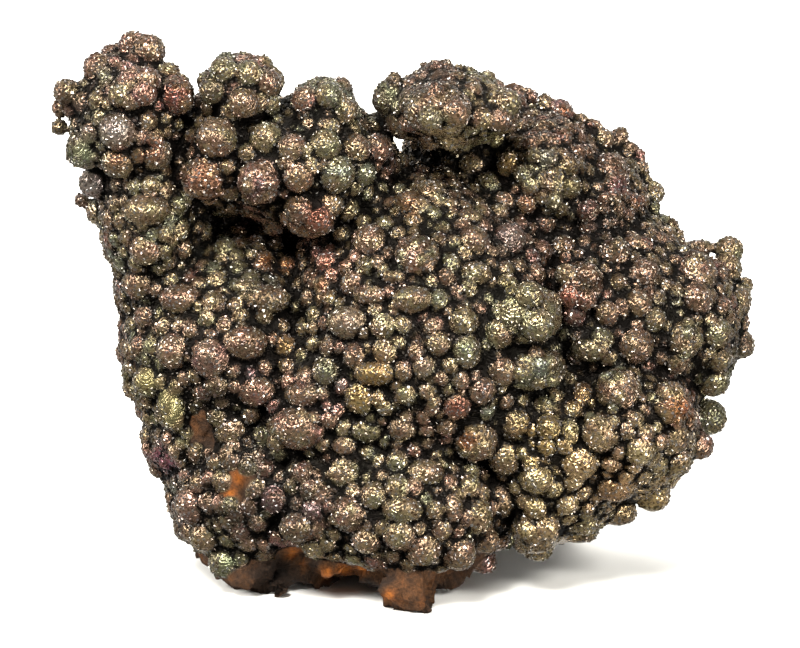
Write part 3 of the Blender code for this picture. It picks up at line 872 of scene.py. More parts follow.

# %% [markdown]
# ## Colours of the film
# The tint of a thin film depends on its thickness, and the film is about as thick all over one
# lump.  So each ball has one place on a scale of tints, from a greyish green over bronze to copper
# brown and a dull plum.  A slow noise says where on the scale a part of the crust lies, and each
# ball adds a chance of its own.  Some places have a tint that stands out, and those are listed.

# %% Tints
# Places on the scale of tints, with the crystals' colour there.
FILM_SCALE = [
    (0.00, "#5c6053"), (0.22, "#67634a"), (0.42, "#6d5f46"), (0.60, "#685544"), (0.80, "#6c5244"),
    (0.92, "#6e4e48"), (1.00, "#665352"),
]
# The pale tan tint is partly a paler crust and partly painted light: it lifts the lower right and the
# ground under the overhang.
TINTS = {
    # The light grey tint is partly a silvery crust and partly a painted sheen.
    "olive": "#5e5c38", "gold": "#7c6436", "green": "#4e5e48", "silver_and_sheen": "#7c7a76", "pink": "#725850",
    "copper": "#70442f", "red": "#682e26", "magenta": "#78345a", "brown": "#4a362a", "orange": "#8c4c20",
    # The darkest tint is partly a darker crust and partly painted shade in hollows, fissures and shadowed
    # ground.
    "dark": "#2a2420", "sand_and_light": "#96825e",
}
# Places with a tint that stands out: across, down, radius, tint.
TINTED_PLACES = [
    (107, 77, 10, "green"), (88, 150, 24, "green"), (120, 133, 15, "silver_and_sheen"), (157, 155, 16, "red"),
    (120, 163, 16, "copper"), (185, 127, 14, "olive"), (78, 108, 14, "dark"), (176, 97, 19, "red"),
    (185, 199, 10, "green"), (215, 92, 14, "dark"), (311, 213, 28, "red"), (207, 179, 22, "copper"),
    (245, 226, 14, "red"), (266, 258, 8, "orange"), (287, 266, 9, "orange"), (328, 263, 12, "copper"),
    (323, 286, 9, "red"), (331, 299, 8, "olive"), (328, 371, 15, "green"), (150, 381, 18, "olive"),
    (174, 407, 20, "olive"), (213, 357, 20, "pink"), (284, 346, 13, "gold"), (393, 100, 20, "green"),
    (437, 76, 16, "dark"), (468, 74, 8, "olive"), (495, 140, 12, "olive"), (409, 206, 15, "copper"),
    (508, 240, 16, "silver_and_sheen"), (350, 322, 20, "pink"), (505, 287, 13, "olive"), (465, 350, 15, "green"),
    (377, 372, 18, "gold"), (423, 366, 10, "pink"), (480, 389, 15, "pink"), (456, 405, 13, "red"),
    (466, 440, 9, "orange"), (362, 397, 16, "gold"), (509, 165, 12, "gold"), (523, 175, 9, "green"),
    (560, 112, 14, "brown"), (567, 110, 5, "orange"), (526, 203, 10, "copper"), (568, 166, 11, "olive"),
    (570, 187, 11, "olive"), (622, 134, 8, "red"), (616, 185, 9, "magenta"), (640, 200, 11, "red"),
    (655, 192, 11, "green"), (589, 228, 11, "pink"), (563, 226, 12, "olive"), (568, 296, 11, "red"),
    (643, 275, 16, "pink"), (701, 247, 14, "olive"), (742, 345, 14, "dark"), (582, 398, 14, "gold"),
    (578, 461, 16, "copper"), (678, 409, 14, "orange"), (614, 485, 18, "orange"), (653, 495, 17, "gold"),
    (587, 507, 8, "red"), (584, 522, 13, "green"), (535, 506, 12, "olive"), (507, 545, 9, "red"),
    (192, 503, 20, "pink"), (158, 455, 10, "magenta"), (170, 468, 10, "magenta"), (227, 562, 18, "green"),
    # The pale tan places at the start of the next line paint light onto the lower right, over a paler
    # crust.
    (545, 520, 48, "sand_and_light"), (645, 485, 48, "sand_and_light"), (575, 470, 40, "sand_and_light"), (252, 462, 30, "dark"),
    (540, 440, 30, "gold"), (425, 84, 42, "brown"), (265, 300, 34, "brown"), (640, 285, 50, "brown"),
    (600, 180, 50, "brown"), (560, 135, 38, "brown"),
    # The pale tan place on the next line paints light on the tops of the lumps under the overhang.
    (570, 250, 36, "brown"), (500, 245, 32, "brown"), (446, 146, 22, "sand_and_light"), (230, 190, 16, "brown"),
    # The dark places on the next two lines lie in hollows and fissures, and there they are partly painted
    # shade.
    (295, 500, 32, "dark"), (240, 520, 26, "dark"), (215, 400, 22, "dark"), (600, 225, 22, "dark"),
    (570, 365, 16, "dark"), (575, 335, 14, "dark"), (94, 186, 18, "silver_and_sheen"),
# The light grey place that ends the list paints a sheen on the horn's left flank.
]
# Places where the matrix has weathered to ochre: across, down, radius.
OCHRE_PLACES = [
    (240, 477, 8), (232, 493, 7), (293, 553, 8), (301, 567, 6), (327, 571, 8), (343, 569, 8),
    (363, 567, 7), (388, 594, 6), (567, 110, 5), (466, 440, 6),
]
# Smooth rippled places with hardly a grain: across, down, radius.
SMOOTH_PLACES = [
    (148, 378, 15), (168, 396, 15), (176, 416, 14), (88, 150, 17), (93, 175, 10), (393, 98, 13),
    (437, 74, 10), (78, 108, 11), (213, 88, 9), (226, 560, 12), (203, 432, 14), (490, 85, 8),
]
# How much of a listed tint shows in its middle, and how deep behind the face it still shows.
TINT_SHARE = 0.6
# Share of the darkest tint in its middle; that tint is partly painted shade.
DARK_AND_SHADE_SHARE = 0.75
DEEPEST_READ = 190.0
# The film's place on its scale: its middle, a slow change over patches, a chance for each ball and
# small clouds.
FILM_MIDDLE = 0.5
FILM_PATCH, FILM_SPREAD = 11.0e-3, 0.34
FILM_CHANCE = 0.12
FILM_CLOUD, FILM_CLOUDY = 2.2e-3, 0.30


def film_colour(scale_place):
    """The colour at places on the scale: each channel runs straight between its stops."""
    stops = [stop for stop, _ in FILM_SCALE]
    colours = np.array([linear(tint) for _, tint in FILM_SCALE])
    return np.stack([np.interp(scale_place, stops, colours[:, channel]) for channel in range(3)], 1)


def nearness(steps, across, down, radius):
    """A bell over the face round one place: 1 in its middle, 0.37 at its radius."""
    apart = ((steps[:, 0] - across) ** 2 + (steps[:, 1] - down) ** 2) / radius ** 2
    return np.exp(-apart) * (steps[:, 2] < DEEPEST_READ)


def highest(steps, places):
    """The strongest nearness to any of the listed places."""
    return np.max([nearness(steps, *place) for place in places], axis=0)


def film_at(points, owner):
    """Tint of each point: its ball's place on the scale, then the tints that stand out."""
    generator = np.random.default_rng(SEED + 2)
    centres = face_place(all_balls[:, :3])
    own = FILM_MIDDLE + FILM_SPREAD * noise_at(centres, FILM_PATCH)
    own = own + FILM_CHANCE * generator.normal(size=len(centres))
    place = np.where(owner >= 0, own[owner], FILM_MIDDLE) + FILM_CLOUDY * noise_at(points, FILM_CLOUD)
    colours = film_colour(np.clip(place, 0.0, 1.0))
    steps = face_steps(points)
    for across, down, radius, tint in TINTED_PLACES:
        # The darkest tint, partly painted shade, shows more strongly than the others.
        most = DARK_AND_SHADE_SHARE if tint == "dark" else TINT_SHARE
        share = most * nearness(steps, across, down, radius)[:, None]
        colours = colours * (1.0 - share) + np.array(linear(TINTS[tint])) * share
    return colours


print("tints", len(FILM_SCALE), "on the scale,", len(TINTED_PLACES), "places that stand out")

# %% [markdown]
# ## Crust, creases and rings
# A shader can't see whether a point lies on a lump or in the crease between two, so that is
# measured here and stored on the skin's vertices.  The crest value is high on what stands out and
# low in the creases and hollows, where little light gets in, and the finishes darken the colour by
# it: that is painted shade.  Smoothing the skin a little and then a lot, and asking how far each
# point has dropped, tells the small lumps and the large ones.  The growth value counts the fine
# rings that some lumps show, like a fingerprint.

# %% Values on the skin
# Crust is whole up to this far from the nearest ball, and gone this much further on.
CRUST_START, CRUST_WIDTH = 0.12e-3, 0.5e-3
# Parts of the crest: its weight, the rounds of smoothing, and the height that counts as full.
CREST_PARTS = ((0.3, 6, 0.12e-3), (0.4, 70, 0.5e-3))
# A crease is where the two nearest balls are nearly as near, and it takes this off the crest.
CREASE_WIDTH = 0.42e-3
CREASE_SHADE = 0.9
# The rings lie round the point where a ball faces this way, and each is this wide.
GROWTH_POLE = (-0.2, -1.0, 0.5)
RING_WIDTH = 0.55e-3


def proudness(mesh, rounds, full):
    """Height of each point over its surroundings, smoothed in rounds, as a share of full.

    Each round moves every point halfway to the mean of its neighbours along the edges."""
    ends = np.empty(2 * len(mesh.edges), dtype=np.int32)
    mesh.edges.foreach_get("vertices", ends)
    first, second = ends.reshape(-1, 2).T
    points = places_in(mesh)
    smooth = points.copy()
    count = len(points)
    degree = np.bincount(first, minlength=count) + np.bincount(second, minlength=count)
    for _ in range(rounds):
        total = [np.bincount(first, smooth[second, axis], count)
                 + np.bincount(second, smooth[first, axis], count) for axis in range(3)]
        smooth = 0.5 * smooth + 0.5 * np.stack(total, 1) / degree[:, None]
    return np.clip(((points - smooth) * normals_in(mesh)).sum(1) / full, -1.0, 1.0)


def set_values(mesh, name, values):
    """Store one number, or one colour, for each vertex."""
    if values.ndim == 1:
        layer = mesh.attributes.new(name, "FLOAT", "POINT")
        layer.data.foreach_set("value", values.astype(np.float32))
    else:
        layer = mesh.attributes.new(name, "FLOAT_COLOR", "POINT")
        full = np.column_stack([values, np.ones(len(values))])
        layer.data.foreach_set("color", full.astype(np.float32).ravel())


def growth_rings(points, owner):
    """How many growth rings lie between a point and the pole of its ball.

    The angle from the pole times the distance from the centre is the length along the ball."""
    centres = face_place(all_balls[:, :3])
    outward = points - centres[owner]
    length = np.linalg.norm(outward, axis=1)
    pole = np.array(GROWTH_POLE) / np.linalg.norm(GROWTH_POLE)
    turn = np.arccos(np.clip(outward @ pole / length, -1.0, 1.0))
    return np.where(owner >= 0, turn * length / RING_WIDTH, 0.0)


def finished_skin(mesh):
    """Work out the values that the finishes read, store them, and stand the skin on its feet."""
    points = places_in(mesh)
    away, second, owner = nearest_ball(points, all_balls, SKIN_GROWTH, BALL_REACH)
    steps = face_steps(points)
    crust = 1.0 - np.clip((away - CRUST_START) / CRUST_WIDTH, 0.0, 1.0)
    crust = np.maximum(crust, face_crust(steps)) * (1.0 - bare_foot(steps))
    crease = 1.0 - np.clip((second - away) / CREASE_WIDTH, 0.0, 1.0)
    # The crest value darkens the colour in the finishes, so it paints shade into creases and hollows.
    crest = sum(weight * proudness(mesh, rounds, full) for weight, rounds, full in CREST_PARTS)
    crest = crest - CREASE_SHADE * crease
    # The film colour also carries the painted shade and painted light of some listed places.
    values = {"crust": crust, "film": film_at(points, owner), "ochre": highest(steps, OCHRE_PLACES),
              "smooth": highest(steps, SMOOTH_PLACES), "growth": growth_rings(points, owner),
              "crest": np.clip(crest, -1.0, 1.0)}
    for name, numbers in values.items():
        set_values(mesh, name, numbers)
    standing = in_packed_box(stood(points))
    mesh.vertices.foreach_set("co", standing.astype(np.float32).ravel())
    mesh.update()
    mesh.shade_smooth()
    return values


skin_values = finished_skin(skin_mesh)
skin_mesh.name = "specimen_skin"
skin = bpy.data.objects.new("specimen_skin", skin_mesh)
bpy.context.scene.collection.objects.link(skin)
print("share of crust", round(float(skin_values["crust"].mean()), 2))

# %% [markdown]
# ## The druse
# The sparkle comes from tens of thousands of crystals, about half a millimetre wide, packed side by
# side.  Candidate places are drawn at random on the crust, more where a triangle is larger, and a
# place is dropped if a neighbour already stands there: that gives the even but orderless packing
# of the real grains.  Hardly any stand on the smooth places, in the deepest creases or under
# overhangs.  A bump in the material would be flat at the outline, and it would give no glints.

# %% Places of the grains
GRAIN_TRIALS = 680_000
# The spacing changes slowly over patches of the crust, and a little from grain to grain.
GRAIN_SPACING = 0.47e-3
GRAIN_PATCH, GRAIN_VARIATION = 3.0e-3, 0.16
GRAIN_CHANCE = (0.86, 1.18)
# Least crust value under a grain, lowest place above the floor, and deepest crease.
GRAIN_CRUST = 0.6
LOWEST_GRAIN = 0.6e-3
DEEPEST_GRAIN = -0.80
# No grain faces down more than the first of these, and all stay from the second upwards.
UNDERSIDE = (-0.85, -0.30)
# How strongly a smooth place keeps grains away.
SMOOTH_SHARE = 1.5


def skin_arrays():
    """Triangles, places and normals of the standing skin."""
    corners = np.empty(3 * len(skin_mesh.polygons), dtype=np.int32)
    skin_mesh.polygons.foreach_get("vertices", corners)
    return corners.reshape(-1, 3), places_in(skin_mesh), normals_in(skin_mesh)


def drawn_places(generator):
    """Random places on the crust: a triangle by its area, then a point in it by two fair numbers."""
    triangles, points, normals = skin_arrays()
    a, b, c = (points[triangles[:, corner]] for corner in range(3))
    area = np.linalg.norm(np.cross(b - a, c - a), axis=1)
    area *= skin_values["crust"][triangles].min(1) > GRAIN_CRUST
    chosen = np.searchsorted(np.cumsum(area) / area.sum(), generator.random(GRAIN_TRIALS))
    r, s = generator.random((2, GRAIN_TRIALS))
    r, s = np.where(r + s > 1.0, 1.0 - r, r), np.where(r + s > 1.0, 1.0 - s, s)
    shares = np.stack([1.0 - r - s, r, s], 1)[:, :, None]
    picked = triangles[chosen]
    place = (points[picked] * shares).sum(1)
    normal = (normals[picked] * shares).sum(1)
    normal /= np.linalg.norm(normal, axis=1, keepdims=True)
    colour = (skin_values["film"][picked] * shares).sum(1)
    crest = (skin_values["crest"][picked] * shares[:, :, 0]).sum(1)
    smooth = (skin_values["smooth"][picked] * shares[:, :, 0]).sum(1)
    low, high = UNDERSIDE
    open_side = generator.random(GRAIN_TRIALS) < (normal[:, 2] - low) / (high - low)
    keep = open_side & (place[:, 2] > LOWEST_GRAIN) & (crest > DEEPEST_GRAIN)
    keep &= generator.random(GRAIN_TRIALS) > SMOOTH_SHARE * smooth
    return place[keep], normal[keep], colour[keep], crest[keep]


def grain_places():
    """Thin the drawn places: the first to stand keeps its spacing clear."""
    generator = np.random.default_rng(SEED + 3)
    place, normal, colour, crest = drawn_places(generator)
    spacing = GRAIN_SPACING * (1.0 + GRAIN_VARIATION * noise_at(place, GRAIN_PATCH, 1))
    spacing *= generator.uniform(*GRAIN_CHANCE, len(place))
    tree = kdtree.KDTree(len(place))
    for number, point in enumerate(place.tolist()):
        tree.insert(point, number)
    tree.balance()
    dropped = np.zeros(len(place), dtype=bool)
    kept = []
    points = place.tolist()
    for number in range(len(place)):
        if dropped[number]:
            continue
        kept.append(number)
        for _, other, _ in tree.find_range(points[number], spacing[number]):
            dropped[other] = True
    kept = np.array(kept)
    return place[kept], normal[kept], colour[kept], crest[kept], spacing[kept]


grains = grain_places()
print("grains", len(grains[0]))

# %% [markdown]
# ## One crystal, many times
# Each grain is a stub with four sides, two tiers and a flat top: twenty triangles, few enough for
# tens of thousands of copies.  It is shaded flat, so that each facet catches a lamp or misses it as
# a whole, which is what glitter is.  Every copy is stretched, tilted and made uneven by a seeded
# generator, or whole patches would flash at once.  Some copies are pale and bright and some rich
# and dark, so that neighbours stand apart.
#
# An export paints the finish of a piece into a picture, so each crystal also gets a square of its
# own in a flat layout.  All of them are alike, so the layout is worked out once.

# %% Crystals
# Rings from the hidden base to the top: height and half width, in shares of a grain's radius.
CRYSTAL_SIDES = 4
CRYSTAL_RINGS = ((-0.35, 0.95), (0.14, 0.90), (0.42, 0.60))
# Slope of the top, width in shares of the spacing, and how far copies differ in shape.
CRYSTAL_TILT = 0.28
GRAIN_WIDTH = 0.60
GRAIN_STRETCH = 0.22
GRAIN_HEIGHTS = (0.8, 1.25)
GRAIN_UNEVEN = 0.09
UNEVEN_HEIGHT = 0.3
GRAIN_PIECES = 5
# Colour of a copy: how much of its ball's tint it keeps, how far the palest goes to grey and the
# darkest away from it, and the light of the darkest with what the palest has on top of that.
BALL_TINT, OWN_TINT = 0.65, 0.35
PALE_SHARE, RICH_SHARE = 0.8, 0.5
DIMMEST, BRIGHTER = 0.32, 0.80
LEAST_COLOUR = 0.002
# What a crystal's hidden foot and its tip add to the crest value, which sets their painted shade.
FOOT_SHADE, TIP_SHADE = -0.9, 0.15
# The flat layout: how far each ring reaches from the middle of a cell, and the base's own corner.
CELL_REACH = (0.46, 0.32, 0.17)
CELL_CORNER = 0.09
# A crystal's first side is square to up, or to x where the grain itself points up this much.
STEEP = 0.9


def crystal():
    """Unit crystal: rings of points at x = w cos a, y = w sin a, joined by flat facets, and closed
    by a flat base and a flat top."""
    turn = np.arange(CRYSTAL_SIDES) * 2.0 * math.pi / CRYSTAL_SIDES
    points = np.vstack([
        np.stack([width * np.cos(turn), width * np.sin(turn), np.full(CRYSTAL_SIDES, height)], 1)
        for height, width in CRYSTAL_RINGS])
    side = np.arange(CRYSTAL_SIDES)
    after = (side + 1) % CRYSTAL_SIDES
    fan = np.arange(1, CRYSTAL_SIDES - 1)
    last = CRYSTAL_SIDES * (len(CRYSTAL_RINGS) - 1)
    faces = [np.stack([np.zeros_like(fan), fan + 1, fan], 1)]
    for start in range(0, last, CRYSTAL_SIDES):
        low, high = start, start + CRYSTAL_SIDES
        faces.append(np.stack([low + side, low + after, high + after], 1))
        faces.append(np.stack([low + side, high + after, high + side], 1))
    faces.append(np.stack([np.full_like(fan, last), last + fan, last + fan + 1], 1))
    return points, np.vstack(faces)


def bake_cells(mesh, count):
    """A flat layout for the crystals: each has its own square cell, with its top in the middle, its
    rings outwards and its hidden base in a corner."""
    points, faces = crystal()
    number = np.arange(len(points))
    turn = (number % CRYSTAL_SIDES) * 2.0 * math.pi / CRYSTAL_SIDES
    reach = np.array(CELL_REACH)[number // CRYSTAL_SIDES]
    flat = np.stack([reach * np.cos(turn), reach * np.sin(turn)], 1)
    corners = 0.5 + flat[faces]
    base = faces.max(1) < CRYSTAL_SIDES
    corners[base] = CELL_CORNER + CELL_CORNER * flat[faces[base]]
    wide = math.ceil(math.sqrt(count))
    cell = np.stack([np.arange(count) % wide, np.arange(count) // wide], 1)
    layout = (corners[None] + cell[:, None, None]) / wide
    layer = mesh.uv_layers.new(name="OFBake")
    layer.data.foreach_set("uv", layout.astype(np.float32).ravel())


def copy_colour(tint, generator):
    """Each crystal's colour: its ball's tint mixed with one of its own, then paler and brighter, or
    richer and darker, by chance."""
    colour = BALL_TINT * tint + OWN_TINT * film_colour(generator.random(len(tint)))
    light = generator.random((len(tint), 1))
    pale = PALE_SHARE * light - RICH_SHARE * (1.0 - light)
    colour = colour * (1.0 - pale) + colour.mean(1, keepdims=True) * pale
    return np.clip(colour, LEAST_COLOUR, 1.0) * (DIMMEST + BRIGHTER * light)


def grain_mesh(name, chosen):
    """Crystals of the chosen grains: a point is its grain's place plus x, y and z of the uneven unit
    crystal times the grain's three axes, which are two sides and the normal."""
    place, normal, colour, crest, spacing = (values[chosen] for values in grains)
    generator = np.random.default_rng(SEED + 4 + len(chosen))
    points, faces = crystal()
    helper = np.where(np.abs(normal[:, 2:3]) < STEEP, [[0.0, 0.0, 1.0]], [[1.0, 0.0, 0.0]])
    side = np.cross(helper, normal)
    side /= np.linalg.norm(side, axis=1, keepdims=True)
    other = np.cross(normal, side)
    spin = generator.uniform(0.0, 2.0 * math.pi, len(place))[:, None]
    cosine, sine = np.cos(spin), np.sin(spin)
    side, other = side * cosine + other * sine, other * cosine - side * sine
    radius = (GRAIN_WIDTH * spacing)[:, None]
    stretch = generator.uniform(1.0 - GRAIN_STRETCH, 1.0 + GRAIN_STRETCH, (len(place), 1))
    height = radius * generator.uniform(*GRAIN_HEIGHTS, (len(place), 1))
    axes = np.stack([side * radius * stretch, other * radius / stretch, normal * height], 1)
    wobble = generator.normal(0.0, GRAIN_UNEVEN, (len(place), *points.shape))
    uneven = points[None] + wobble * (1.0, 1.0, UNEVEN_HEIGHT)
    tilt = generator.normal(0.0, CRYSTAL_TILT, (len(place), 2, 1))
    uneven[:, :, 2] += (points[:, 2] > 0.0) * (uneven[:, :, :2] @ tilt)[:, :, 0]
    where = in_packed_box(place[:, None, :] + uneven @ axes)
    triangles = faces[None] + (np.arange(len(place)) * len(points))[:, None, None]
    mesh = mesh_of(name, where.reshape(-1, 3), triangles.reshape(-1, 3))
    colour = copy_colour(colour, generator)
    set_values(mesh, "film", np.repeat(colour, len(points), axis=0))
    # Each crystal keeps its grain's crest, which paints shade on crystals in creases and hollows.
    foot = np.where(points[:, 2] < 0.0, FOOT_SHADE, TIP_SHADE)
    set_values(mesh, "crest", np.clip(crest[:, None] + foot[None], -1.0, 1.0).reshape(-1))
    mesh.shade_flat()
    bake_cells(mesh, len(place))
    return mesh


def make_druse():
    """Sort the grains from left to right and cut the row into equal pieces."""
    order = np.argsort(grains[0][:, 0])
    made = []
    for number, chosen in enumerate(np.array_split(order, GRAIN_PIECES)):
        piece = bpy.data.objects.new(f"druse_{number + 1}", grain_mesh(f"druse_{number + 1}", chosen))
        bpy.context.scene.collection.objects.link(piece)
        made.append(piece)
    return made


druse = make_druse()
print("druse pieces", [len(piece.data.polygons) for piece in druse])

# %% [markdown]
# ## Finishes
# Goethite, the mineral of the crust, is an iron oxide whose fibrous, naturally polished skin shines
# between glass and metal.  Its shader is two thirds metal, with the film's tint as its colour, for
# the tinted glints, and one third clear gloss over a tinted body, for the white ones.  Goethite's
# index of refraction is 2.3, but that made the crust look pale and dusty, so it is lowered to 1.8.
# The creases carry painted shade, nearly black, and they are wholly metal and less polished.
#
# The matrix is the same oxide as an earthy powder, matt and brown, with ochre where it has
# weathered, and it has hardly any gloss.  The skin carries both finishes, because crust and matrix
# grew together: the crust value says which of them shows, and a fine noise makes the edge ragged.

# %% Goethite
# Colour of the painted shade in creases and hollows.
CREASE_PAINTED_SHADE = "#131211"
# Share of a crystal that shines like glass and not like metal, and its index of refraction.
GLASSY = 0.32
GOETHITE_INDEX = 1.8
# Crest values at which the painted shade of a crease is darkest and at which it ends, and the tint left at
# its darkest.
CREASED = (-0.65, -0.02)
CREASE_TINT = 0.02
# Nearly all values of a noise texture lie between these.
NOISE_LOW, NOISE_HIGH = 0.3, 0.7
# Sizes in metres: clouds that scale the tint, specks that change the polish, and the fibres' grain.
CLOUD, CLOUD_TONES = 2.4e-3, (0.60, 1.15)
SPECK, SPECK_ROUGHNESS = 0.5e-3, (0.15, 0.28)
FIBRE = 0.30e-3
# Crest values between which the polish is lost, and the roughness that comes on top.
WORN_CREST = (-0.8, -0.3)
WORN = 0.40
# A Mix node has sockets of every kind: these are its two numbers and their mix, and its two
# colours and theirs.
NUMBER_A, NUMBER_B, NUMBER_MIX = 2, 3, 0
COLOUR_A, COLOUR_B, COLOUR_MIX = 6, 7, 2


def goethite(tree, places):
    """Skin of fibrous iron oxide: its colour, roughness, metal and the height of its fine relief.

    It gives the eye dark lumps with small, bright, tinted glints."""
    film = add_node(tree, "ShaderNodeAttribute", attribute_name="film").outputs["Color"]
    crest = add_node(tree, "ShaderNodeAttribute", attribute_name="crest").outputs["Fac"]
    cloud = add_node(tree, "ShaderNodeTexNoise", {"Vector": places, "Scale": 1.0 / CLOUD, "Detail": 3.0})
    speck = add_node(tree, "ShaderNodeTexNoise", {"Vector": places, "Scale": 1.0 / SPECK, "Detail": 2.0})
    fibre = add_node(tree, "ShaderNodeTexNoise", {"Vector": places, "Scale": 1.0 / FIBRE, "Detail": 1.5})
    # Painted shade: where the crest is low, in creases and hollows, the colour goes towards the crease
    # colour and the skin is wholly metal.
    shade = add_node(tree, "ShaderNodeMapRange", {
        "Value": crest, "From Min": CREASED[0], "From Max": CREASED[1],
        "To Min": CREASE_TINT, "To Max": 1.0})
    tone = add_node(tree, "ShaderNodeMapRange", {
        "Value": cloud.outputs["Fac"], "From Min": NOISE_LOW, "From Max": NOISE_HIGH,
        "To Min": CLOUD_TONES[0], "To Max": CLOUD_TONES[1]})
    toned = add_node(tree, "ShaderNodeVectorMath", {
        0: film, "Scale": tone.outputs["Result"]}, operation="SCALE")
    colour = add_node(tree, "ShaderNodeMix", {
        "Factor": shade.outputs["Result"], COLOUR_A: (*linear(CREASE_PAINTED_SHADE), 1.0),
        COLOUR_B: toned.outputs["Vector"]}, data_type="RGBA")
    rough = add_node(tree, "ShaderNodeMapRange", {
        "Value": speck.outputs["Fac"], "From Min": NOISE_LOW, "From Max": NOISE_HIGH,
        "To Min": SPECK_ROUGHNESS[0], "To Max": SPECK_ROUGHNESS[1]})
    worn = add_node(tree, "ShaderNodeMapRange", {
        "Value": crest, "From Min": WORN_CREST[0], "From Max": WORN_CREST[1],
        "To Min": WORN, "To Max": 0.0})
    roughness = add_node(tree, "ShaderNodeMath", {
        0: rough.outputs["Result"], 1: worn.outputs["Result"]}, operation="ADD")
    metal = add_node(tree, "ShaderNodeMath", {
        0: shade.outputs["Result"], 1: -GLASSY, 2: 1.0}, operation="MULTIPLY_ADD")
    return {"colour": colour.outputs[COLOUR_MIX], "roughness": roughness.outputs["Value"],
            "metal": metal.outputs["Value"], "height": fibre.outputs["Fac"]}


print("patterns of the crust in mm", [round(1000 * size, 2) for size in (CLOUD, SPECK, FIBRE)])

# %% Earthy limonite
# Sizes in metres: patches of weathering, and grit.
PATCH = 6.0e-3
GRIT, GRIT_TONES = 0.45e-3, (0.45, 1.5)
# How far an ochre place moves up the scale of earths, and the scale: place and colour.
OCHRE = 0.55
EARTHS = (
    (0.30, "#17110d"), (0.46, "#2c1f16"), (0.60, "#432b18"), (0.80, "#5c3518"), (1.00, "#80491a"),
)


def earthy_limonite(tree, places):
    """Broken, powdery iron oxide: its colour and the height of its grit.

    It gives the eye a matt, rusty brown in dark and light patches, and ochre where it weathered."""
    ochre = add_node(tree, "ShaderNodeAttribute", attribute_name="ochre").outputs["Fac"]
    patch = add_node(tree, "ShaderNodeTexNoise", {
        "Vector": places, "Scale": 1.0 / PATCH, "Detail": 5.0, "Roughness": 0.65})
    grit = add_node(tree, "ShaderNodeTexNoise", {
        "Vector": places, "Scale": 1.0 / GRIT, "Detail": 4.0, "Roughness": 0.7})
    warm = add_node(tree, "ShaderNodeMath", {
        0: ochre, 1: OCHRE, 2: patch.outputs["Fac"]}, operation="MULTIPLY_ADD")
    earth = add_node(tree, "ShaderNodeValToRGB", {"Fac": warm.outputs["Value"]})
    ramp = earth.color_ramp.elements
    while len(ramp) < len(EARTHS):
        ramp.new(0.5)
    for element, (position, tint) in zip(ramp, EARTHS):
        element.position = position
        element.color = (*linear(tint), 1.0)
    dusty = add_node(tree, "ShaderNodeMapRange", {
        "Value": grit.outputs["Fac"], "From Min": NOISE_LOW, "From Max": NOISE_HIGH,
        "To Min": GRIT_TONES[0], "To Max": GRIT_TONES[1]})
    soil = add_node(tree, "ShaderNodeVectorMath", {
        0: earth.outputs["Color"], "Scale": dusty.outputs["Result"]}, operation="SCALE")
    return soil.outputs["Vector"], grit.outputs["Fac"]


print("earth colours", [tint for _, tint in EARTHS])

# %% Growth rings
# Size in metres of the noise that bends the rings, and how many rings wide the bending is.
WANDER, WANDER_RINGS = 1.8e-3, 2.5
# Height of a ring beside the fibres' grain, and what a smooth place adds to it.
RING_HEIGHT, SMOOTH_RINGS = 0.5, 0.3


def growth_ripple(tree, places, fine):
    """Height of the rings: the sine of the growth value, bent by a noise, on top of a fine height."""
    rings = add_node(tree, "ShaderNodeAttribute", attribute_name="growth").outputs["Fac"]
    smooth = add_node(tree, "ShaderNodeAttribute", attribute_name="smooth").outputs["Fac"]
    wander = add_node(tree, "ShaderNodeTexNoise", {
        "Vector": places, "Scale": 1.0 / WANDER, "Detail": 2.0})
    bent = add_node(tree, "ShaderNodeMath", {
        0: wander.outputs["Fac"], 1: WANDER_RINGS, 2: rings}, operation="MULTIPLY_ADD")
    phase = add_node(tree, "ShaderNodeMath", {
        0: bent.outputs["Value"], 1: 2.0 * math.pi}, operation="MULTIPLY")
    ripple = add_node(tree, "ShaderNodeMath", {0: phase.outputs["Value"]}, operation="SINE")
    much = add_node(tree, "ShaderNodeMath", {
        0: smooth, 1: SMOOTH_RINGS, 2: RING_HEIGHT}, operation="MULTIPLY_ADD")
    growth = add_node(tree, "ShaderNodeMath", {
        0: ripple.outputs["Value"], 1: much.outputs["Value"], 2: fine}, operation="MULTIPLY_ADD")
    return growth.outputs["Value"]


print("rings in mm", round(1000 * RING_WIDTH, 2))

# %% The two materials
# Depth in metres of the bump on a crystal, on the skin's crust and on bare earth, and its strength.
CRYSTAL_BUMP, CRUST_BUMP, EARTH_BUMP = 0.03e-3, 0.07e-3, 0.70e-3
CRYSTAL_STRENGTH, SKIN_STRENGTH = 0.6, 0.8
EARTH_ROUGHNESS = 0.88
EARTH_SHINE = 0.15
# How ragged the edge of the crust is, and the values between which earth gives way to crust.
RAGGED = 0.5
EDGE = (0.55, 0.95)


def make_druse_finish():
    """Crystals of goethite, flat, polished and tinted: they give the eye the glitter."""
    material, tree = new_material("iridescent_goethite_druse")
    places = add_node(tree, "ShaderNodeTexCoord").outputs["Object"]
    crust = goethite(tree, places)
    bump = add_node(tree, "ShaderNodeBump", {
        "Height": crust["height"], "Distance": CRYSTAL_BUMP, "Strength": CRYSTAL_STRENGTH})
    shader = add_node(tree, "ShaderNodeBsdfPrincipled", {
        "Base Color": crust["colour"], "Roughness": crust["roughness"], "Metallic": crust["metal"],
        "IOR": GOETHITE_INDEX, "Normal": bump.outputs["Normal"]})
    add_node(tree, "ShaderNodeOutputMaterial", {"Surface": shader.outputs["BSDF"]})
    return material


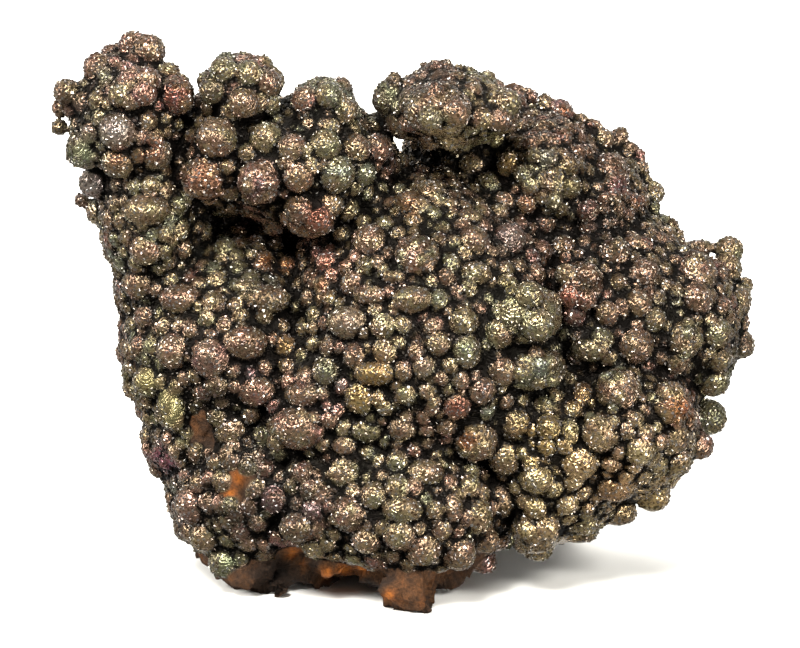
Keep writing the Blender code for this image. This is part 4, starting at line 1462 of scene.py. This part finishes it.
def make_skin_finish():
    """Goethite skin and earthy matrix in one, mixed by the crust value with a ragged edge."""
    material, tree = new_material("goethite_skin_on_earthy_limonite")
    places = add_node(tree, "ShaderNodeTexCoord").outputs["Object"]
    crust = goethite(tree, places)
    soil, grit = earthy_limonite(tree, places)
    covered = add_node(tree, "ShaderNodeAttribute", attribute_name="crust").outputs["Fac"]
    ragged = add_node(tree, "ShaderNodeMath", {0: grit, 1: RAGGED, 2: covered}, operation="MULTIPLY_ADD")
    edge = add_node(tree, "ShaderNodeMapRange", {
        "Value": ragged.outputs["Value"], "From Min": EDGE[0], "From Max": EDGE[1]})
    share = edge.outputs["Result"]
    colours = add_node(tree, "ShaderNodeMix", {
        "Factor": share, COLOUR_A: soil, COLOUR_B: crust["colour"]}, data_type="RGBA")
    dull = add_node(tree, "ShaderNodeMix", {
        "Factor": share, NUMBER_A: EARTH_ROUGHNESS, NUMBER_B: crust["roughness"]})
    metal = add_node(tree, "ShaderNodeMath", {0: share, 1: crust["metal"]}, operation="MULTIPLY")
    heights = add_node(tree, "ShaderNodeMix", {
        "Factor": share, NUMBER_A: grit, NUMBER_B: growth_ripple(tree, places, crust["height"])})
    depth = add_node(tree, "ShaderNodeMix", {
        "Factor": share, NUMBER_A: EARTH_BUMP, NUMBER_B: CRUST_BUMP})
    bump = add_node(tree, "ShaderNodeBump", {
        "Height": heights.outputs[NUMBER_MIX], "Distance": depth.outputs[NUMBER_MIX],
        "Strength": SKIN_STRENGTH})
    shader = add_node(tree, "ShaderNodeBsdfPrincipled", {
        "Base Color": colours.outputs[COLOUR_MIX], "Roughness": dull.outputs[NUMBER_MIX],
        "Metallic": metal.outputs["Value"], "Specular IOR Level": EARTH_SHINE,
        "Normal": bump.outputs["Normal"]})
    add_node(tree, "ShaderNodeOutputMaterial", {"Surface": shader.outputs["BSDF"]})
    return material


skin.data.materials.append(make_skin_finish())
druse_finish = make_druse_finish()
for piece in druse:
    piece.data.materials.append(druse_finish)
print("finishes", [material.name for material in bpy.data.materials])

# %% [markdown]
# ## Joining the specimen
# Every new piece stands for the imported specimen and moves with it.

# %% Pieces of the specimen
for piece in [skin] + druse:
    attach(piece, "root")
    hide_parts("limonite_specimen")
